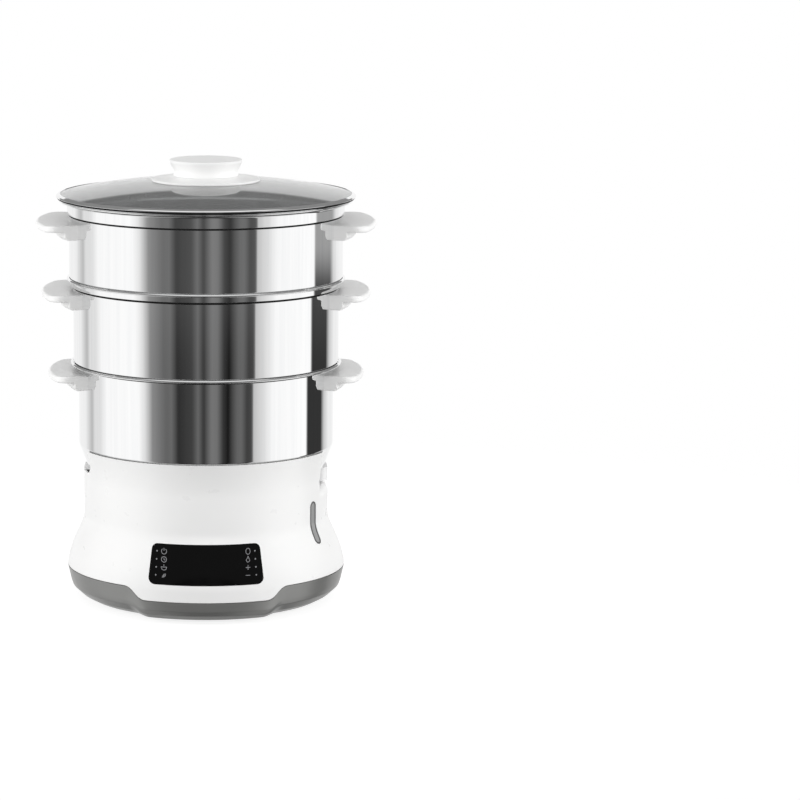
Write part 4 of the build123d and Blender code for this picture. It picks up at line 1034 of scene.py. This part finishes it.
def make_disc():
    """Wide disc that lies on the glass and slopes up to the knob."""
    edge_z = dome_z(disc_r)
    upper = [
        (disc_r, edge_z),
        (disc_r, edge_z + disc_edge_t),
        (knob_waist_r + 6.0 * mm, knob_low.z - 0.6 * mm),
        (knob_waist_r - 1.0 * mm, knob_low.z),
        (screw_hole_r, knob_low.z),
    ]
    disc = np.concatenate([
        dome_line(screw_hole_r, disc_r - 0.4 * mm, 0.0), rounded(upper, disc_bends),
    ])
    place(turned("knob_disc", disc), "lid", "white_handles", "knob_collar")


def make_knob():
    """Waisted knob: a cove at its foot, a flared side, a rounded brim and a shallow crown."""
    waist_z, crown_z = knob_low.z, knob_high.z
    brim_z = crown_z - 2.8 * mm
    outline = [
        (knob_hollow_r, waist_z),
        (knob_waist_r + 0.2 * mm, waist_z),
        (knob_waist_r, waist_z + 1.0 * mm),
        (knob_waist_r, brim_z - 10.6 * mm),
        (knob_r, brim_z - 2.5 * mm),
        (knob_r, brim_z),
        (knob_r - 3.0 * mm, brim_z + 0.4 * mm),
        (0.0, crown_z),
        (0.0, crown_z - 4.0 * mm),
        (knob_hollow_r, brim_z - 3.0 * mm),
    ]
    knob = turned("knob", rounded(outline, knob_bends, closed=True))
    place(knob, "lid", "white_handles", "lid_knob")


make_glass()
make_band()
make_disc()
make_knob()


# ------------------------------------------------------------------ studio
sky_level = 0.57  # light of the surroundings, which the camera itself sees at full white
table_glow = 0.80  # light of the table top, for the camera alone
table_r = 1.1
lamp_target = (0, 0, 0.2)

# (azimuth in degrees, level) of the cards, from behind the object round the front and back
cards = (
    (-180, 0.95), (-140, 0.90), (-126, 0.50), (-121, 0.76), (-111, 0.78), (-102, 1.00),
    (-64, 1.03), (-57, 0.80), (-49, 0.26), (-36, 0.13), (-31, 0.145), (-25, 0.03),
    (-12, 0.055), (-7, 0.14), (-2, 0.035), (5, 0.19), (10, 0.17), (15, 0.04),
    (20, 0.008), (28, 0.13), (32, 0.14), (37, 0.05), (42, 0.07), (43.5, 0.56),
    (53, 0.76), (62, 1.00), (102.5, 1.05), (104.5, 0.035), (128, 0.035), (135, 0.62),
    (146, 0.88), (180, 0.95),
)


def rising(angle):
    """Z of a direction that rises by an angle in degrees."""
    return sin(radians(angle))


def card_bands(tree, azimuth, z):
    """Level of the cards in a direction, as upright bands that grow wider towards the floor."""
    widen = mapped(tree, z, (rising(-50), rising(-25), 0.885, 1.0), smooth=True)
    along = calculate(tree, "MULTIPLY", azimuth, widen)
    share = calculate(tree, "ADD", calculate(tree, "DIVIDE", along, 2 * pi), 0.5)
    ramp = tree.nodes.new("ShaderNodeValToRGB")
    stops = ramp.color_ramp.elements
    while len(stops) < len(cards):
        stops.new(0.5)
    for stop, (angle, level) in zip(stops, cards):
        stop.position = angle / 360 + 0.5
        stop.color = (level, level, level, 1)
    tree.links.new(share, ramp.inputs["Fac"])
    band = tree.nodes.new("ShaderNodeRGBToBW")
    tree.links.new(ramp.outputs["Color"], band.inputs["Color"])
    return band.outputs["Val"]


def faded(tree, band, azimuth, z):
    """The cards' level with the dark ones faded upwards, the one at the right most of all."""
    at_right = mapped(tree, azimuth, (radians(60), radians(110), 0.0, 0.30), smooth=True)
    high_up = mapped(tree, z, (rising(-8.0), rising(-7.2), 0.0, 1.0), smooth=True)
    everywhere = mapped(tree, z, (rising(-9.3), rising(-7.8), 0.0, 0.03), smooth=True)
    fade = calculate(tree, "ADD", calculate(tree, "MULTIPLY", at_right, high_up), everywhere)
    missing = calculate(tree, "MAXIMUM", calculate(tree, "SUBTRACT", 1.0, band), 0.0)
    return calculate(tree, "ADD", band, calculate(tree, "MULTIPLY", missing, fade))


def studio_world():
    """White surroundings. Polished surfaces also see the dark and pale cards that stand round the
    set, as upright bands that dim towards the floor, and a grey ceiling above them."""
    world = bpy.data.worlds.new("studio")
    scene.world = world
    world.use_nodes = True
    tree = world.node_tree
    output = tree.nodes["World Output"]
    tree.nodes.remove(tree.nodes["Background"])
    direction = tree.nodes.new("ShaderNodeSeparateXYZ")
    tree.links.new(tree.nodes.new("ShaderNodeTexCoord").outputs["Generated"], direction.inputs[0])
    x, y, z = direction.outputs
    azimuth = calculate(tree, "ARCTAN2", x, calculate(tree, "MULTIPLY", y, -1.0))

    bands = faded(tree, card_bands(tree, azimuth, z), azimuth, z)
    dimmed = mapped(tree, z, (rising(-60), rising(-20), 0.6, 1.0), smooth=True)
    bands = calculate(tree, "MULTIPLY", bands, dimmed)

    # the ceiling brightens overhead, and its edge arches up in front and behind
    ceiling = mapped(tree, z, (rising(55), rising(68), 0.24, 0.85), smooth=True)
    drop = calculate(tree, "MULTIPLY", calculate(tree, "MULTIPLY", x, x), 0.85)
    arch = calculate(tree, "MAXIMUM", calculate(tree, "SUBTRACT", 0.31, drop), 0.05)
    above = calculate(tree, "SUBTRACT", z, arch)
    seen = mapped(tree, above, (-0.017, 0.017, bands, ceiling), smooth=True)

    # only polished surfaces see the bands and the ceiling, and not by way of a dull one
    paths = tree.nodes.new("ShaderNodeLightPath").outputs
    polished = calculate(tree, "MAXIMUM", paths["Is Glossy Ray"], paths["Is Transmission Ray"])
    direct = calculate(tree, "LESS_THAN", paths["Diffuse Depth"], 0.5)
    polished = calculate(tree, "MULTIPLY", polished, direct)
    plain = calculate(tree, "MULTIPLY", paths["Is Camera Ray"], 1.0 - sky_level)
    plain = calculate(tree, "ADD", plain, sky_level)
    mixed = tree.nodes.new("ShaderNodeMix")
    for socket, value in zip(mixed.inputs[:1] + mixed.inputs[2:4], (polished, plain, seen)):
        tree.links.new(value, socket)
    background = tree.nodes.new("ShaderNodeBackground")
    background.inputs["Color"].default_value = (1, 1, 1, 1)
    tree.links.new(mixed.outputs[0], background.inputs["Strength"])
    tree.links.new(background.outputs[0], output.inputs["Surface"])


def make_floor():
    """Pale table top that fades into the white surroundings. It takes the object's shadow."""
    azimuth = np.linspace(0, 2 * pi, 96, endpoint=False)[None, :]
    ring = np.linspace(0, table_r, 12)[::-1, None]
    points = around(ring, azimuth, 0 * ring)
    mesh = make_mesh("table_top", points, grid_faces(*points.shape[:2], wrap_columns=True))
    material, tree, shader = start_material(
        "table_top", Base_Color=(0.4, 0.4, 0.4, 1), Emission_Color=(1, 1, 1, 1), Roughness=0.9,
        Specular_IOR_Level=0.0,
    )
    paths = tree.nodes.new("ShaderNodeLightPath").outputs
    glow = calculate(tree, "MULTIPLY", paths["Is Camera Ray"], table_glow)
    tree.links.new(glow, shader.inputs["Emission Strength"])
    length = tree.nodes.new("ShaderNodeVectorMath")
    length.operation = "LENGTH"
    coordinates = tree.nodes.new("ShaderNodeTexCoord")
    tree.links.new(coordinates.outputs["Object"], length.inputs[0])
    fade = mapped(tree, length.outputs["Value"], (0.3, 0.95, 1.0, 0.0), smooth=True)
    tree.links.new(fade, shader.inputs["Alpha"])
    mesh.materials.append(material)
    table = bpy.data.objects.new("table_top", mesh)
    scene.collection.objects.link(table)
    table.visible_glossy = False


def make_lamp(name, location, size, power):
    """Square soft light aimed at the object. It doesn't show in polished surfaces."""
    lamp = bpy.data.objects.new(name, bpy.data.lights.new(name, "AREA"))
    lamp.data.size = size
    lamp.data.energy = power
    lamp.location = location
    aim = Vector(lamp_target) - Vector(location)
    lamp.rotation_euler = aim.to_track_quat("-Z", "Y").to_euler()
    lamp.visible_glossy = False
    lamp.visible_transmission = False
    scene.collection.objects.link(lamp)


def make_camera():
    """Long lens straight in front of the object, above it and looking down. The lens is shifted,
    so that the object stands left of the middle and its axis is upright in the picture."""
    distance, height, focal = 3.600, 0.813, 164.3
    pitch, shift = radians(9.667), 0.2425
    camera = bpy.data.objects.new("camera", bpy.data.cameras.new("camera"))
    camera.data.lens = focal
    camera.data.sensor_width = 36.0
    camera.location = (0, -distance, height)
    camera.data.shift_x = shift
    camera.rotation_euler = (pi / 2 - pitch, 0, 0)
    scene.collection.objects.link(camera)
    scene.camera = camera


studio_world()
make_floor()
make_lamp("left_light", (-2.8, -0.6, 0.95), 1.2, 44)
make_lamp("right_light", (2.8, -0.6, 0.95), 1.2, 41)
make_lamp("front_light", (0.2, -3.2, 0.9), 1.4, 24)
make_camera()
scene.view_settings.view_transform = "Standard"
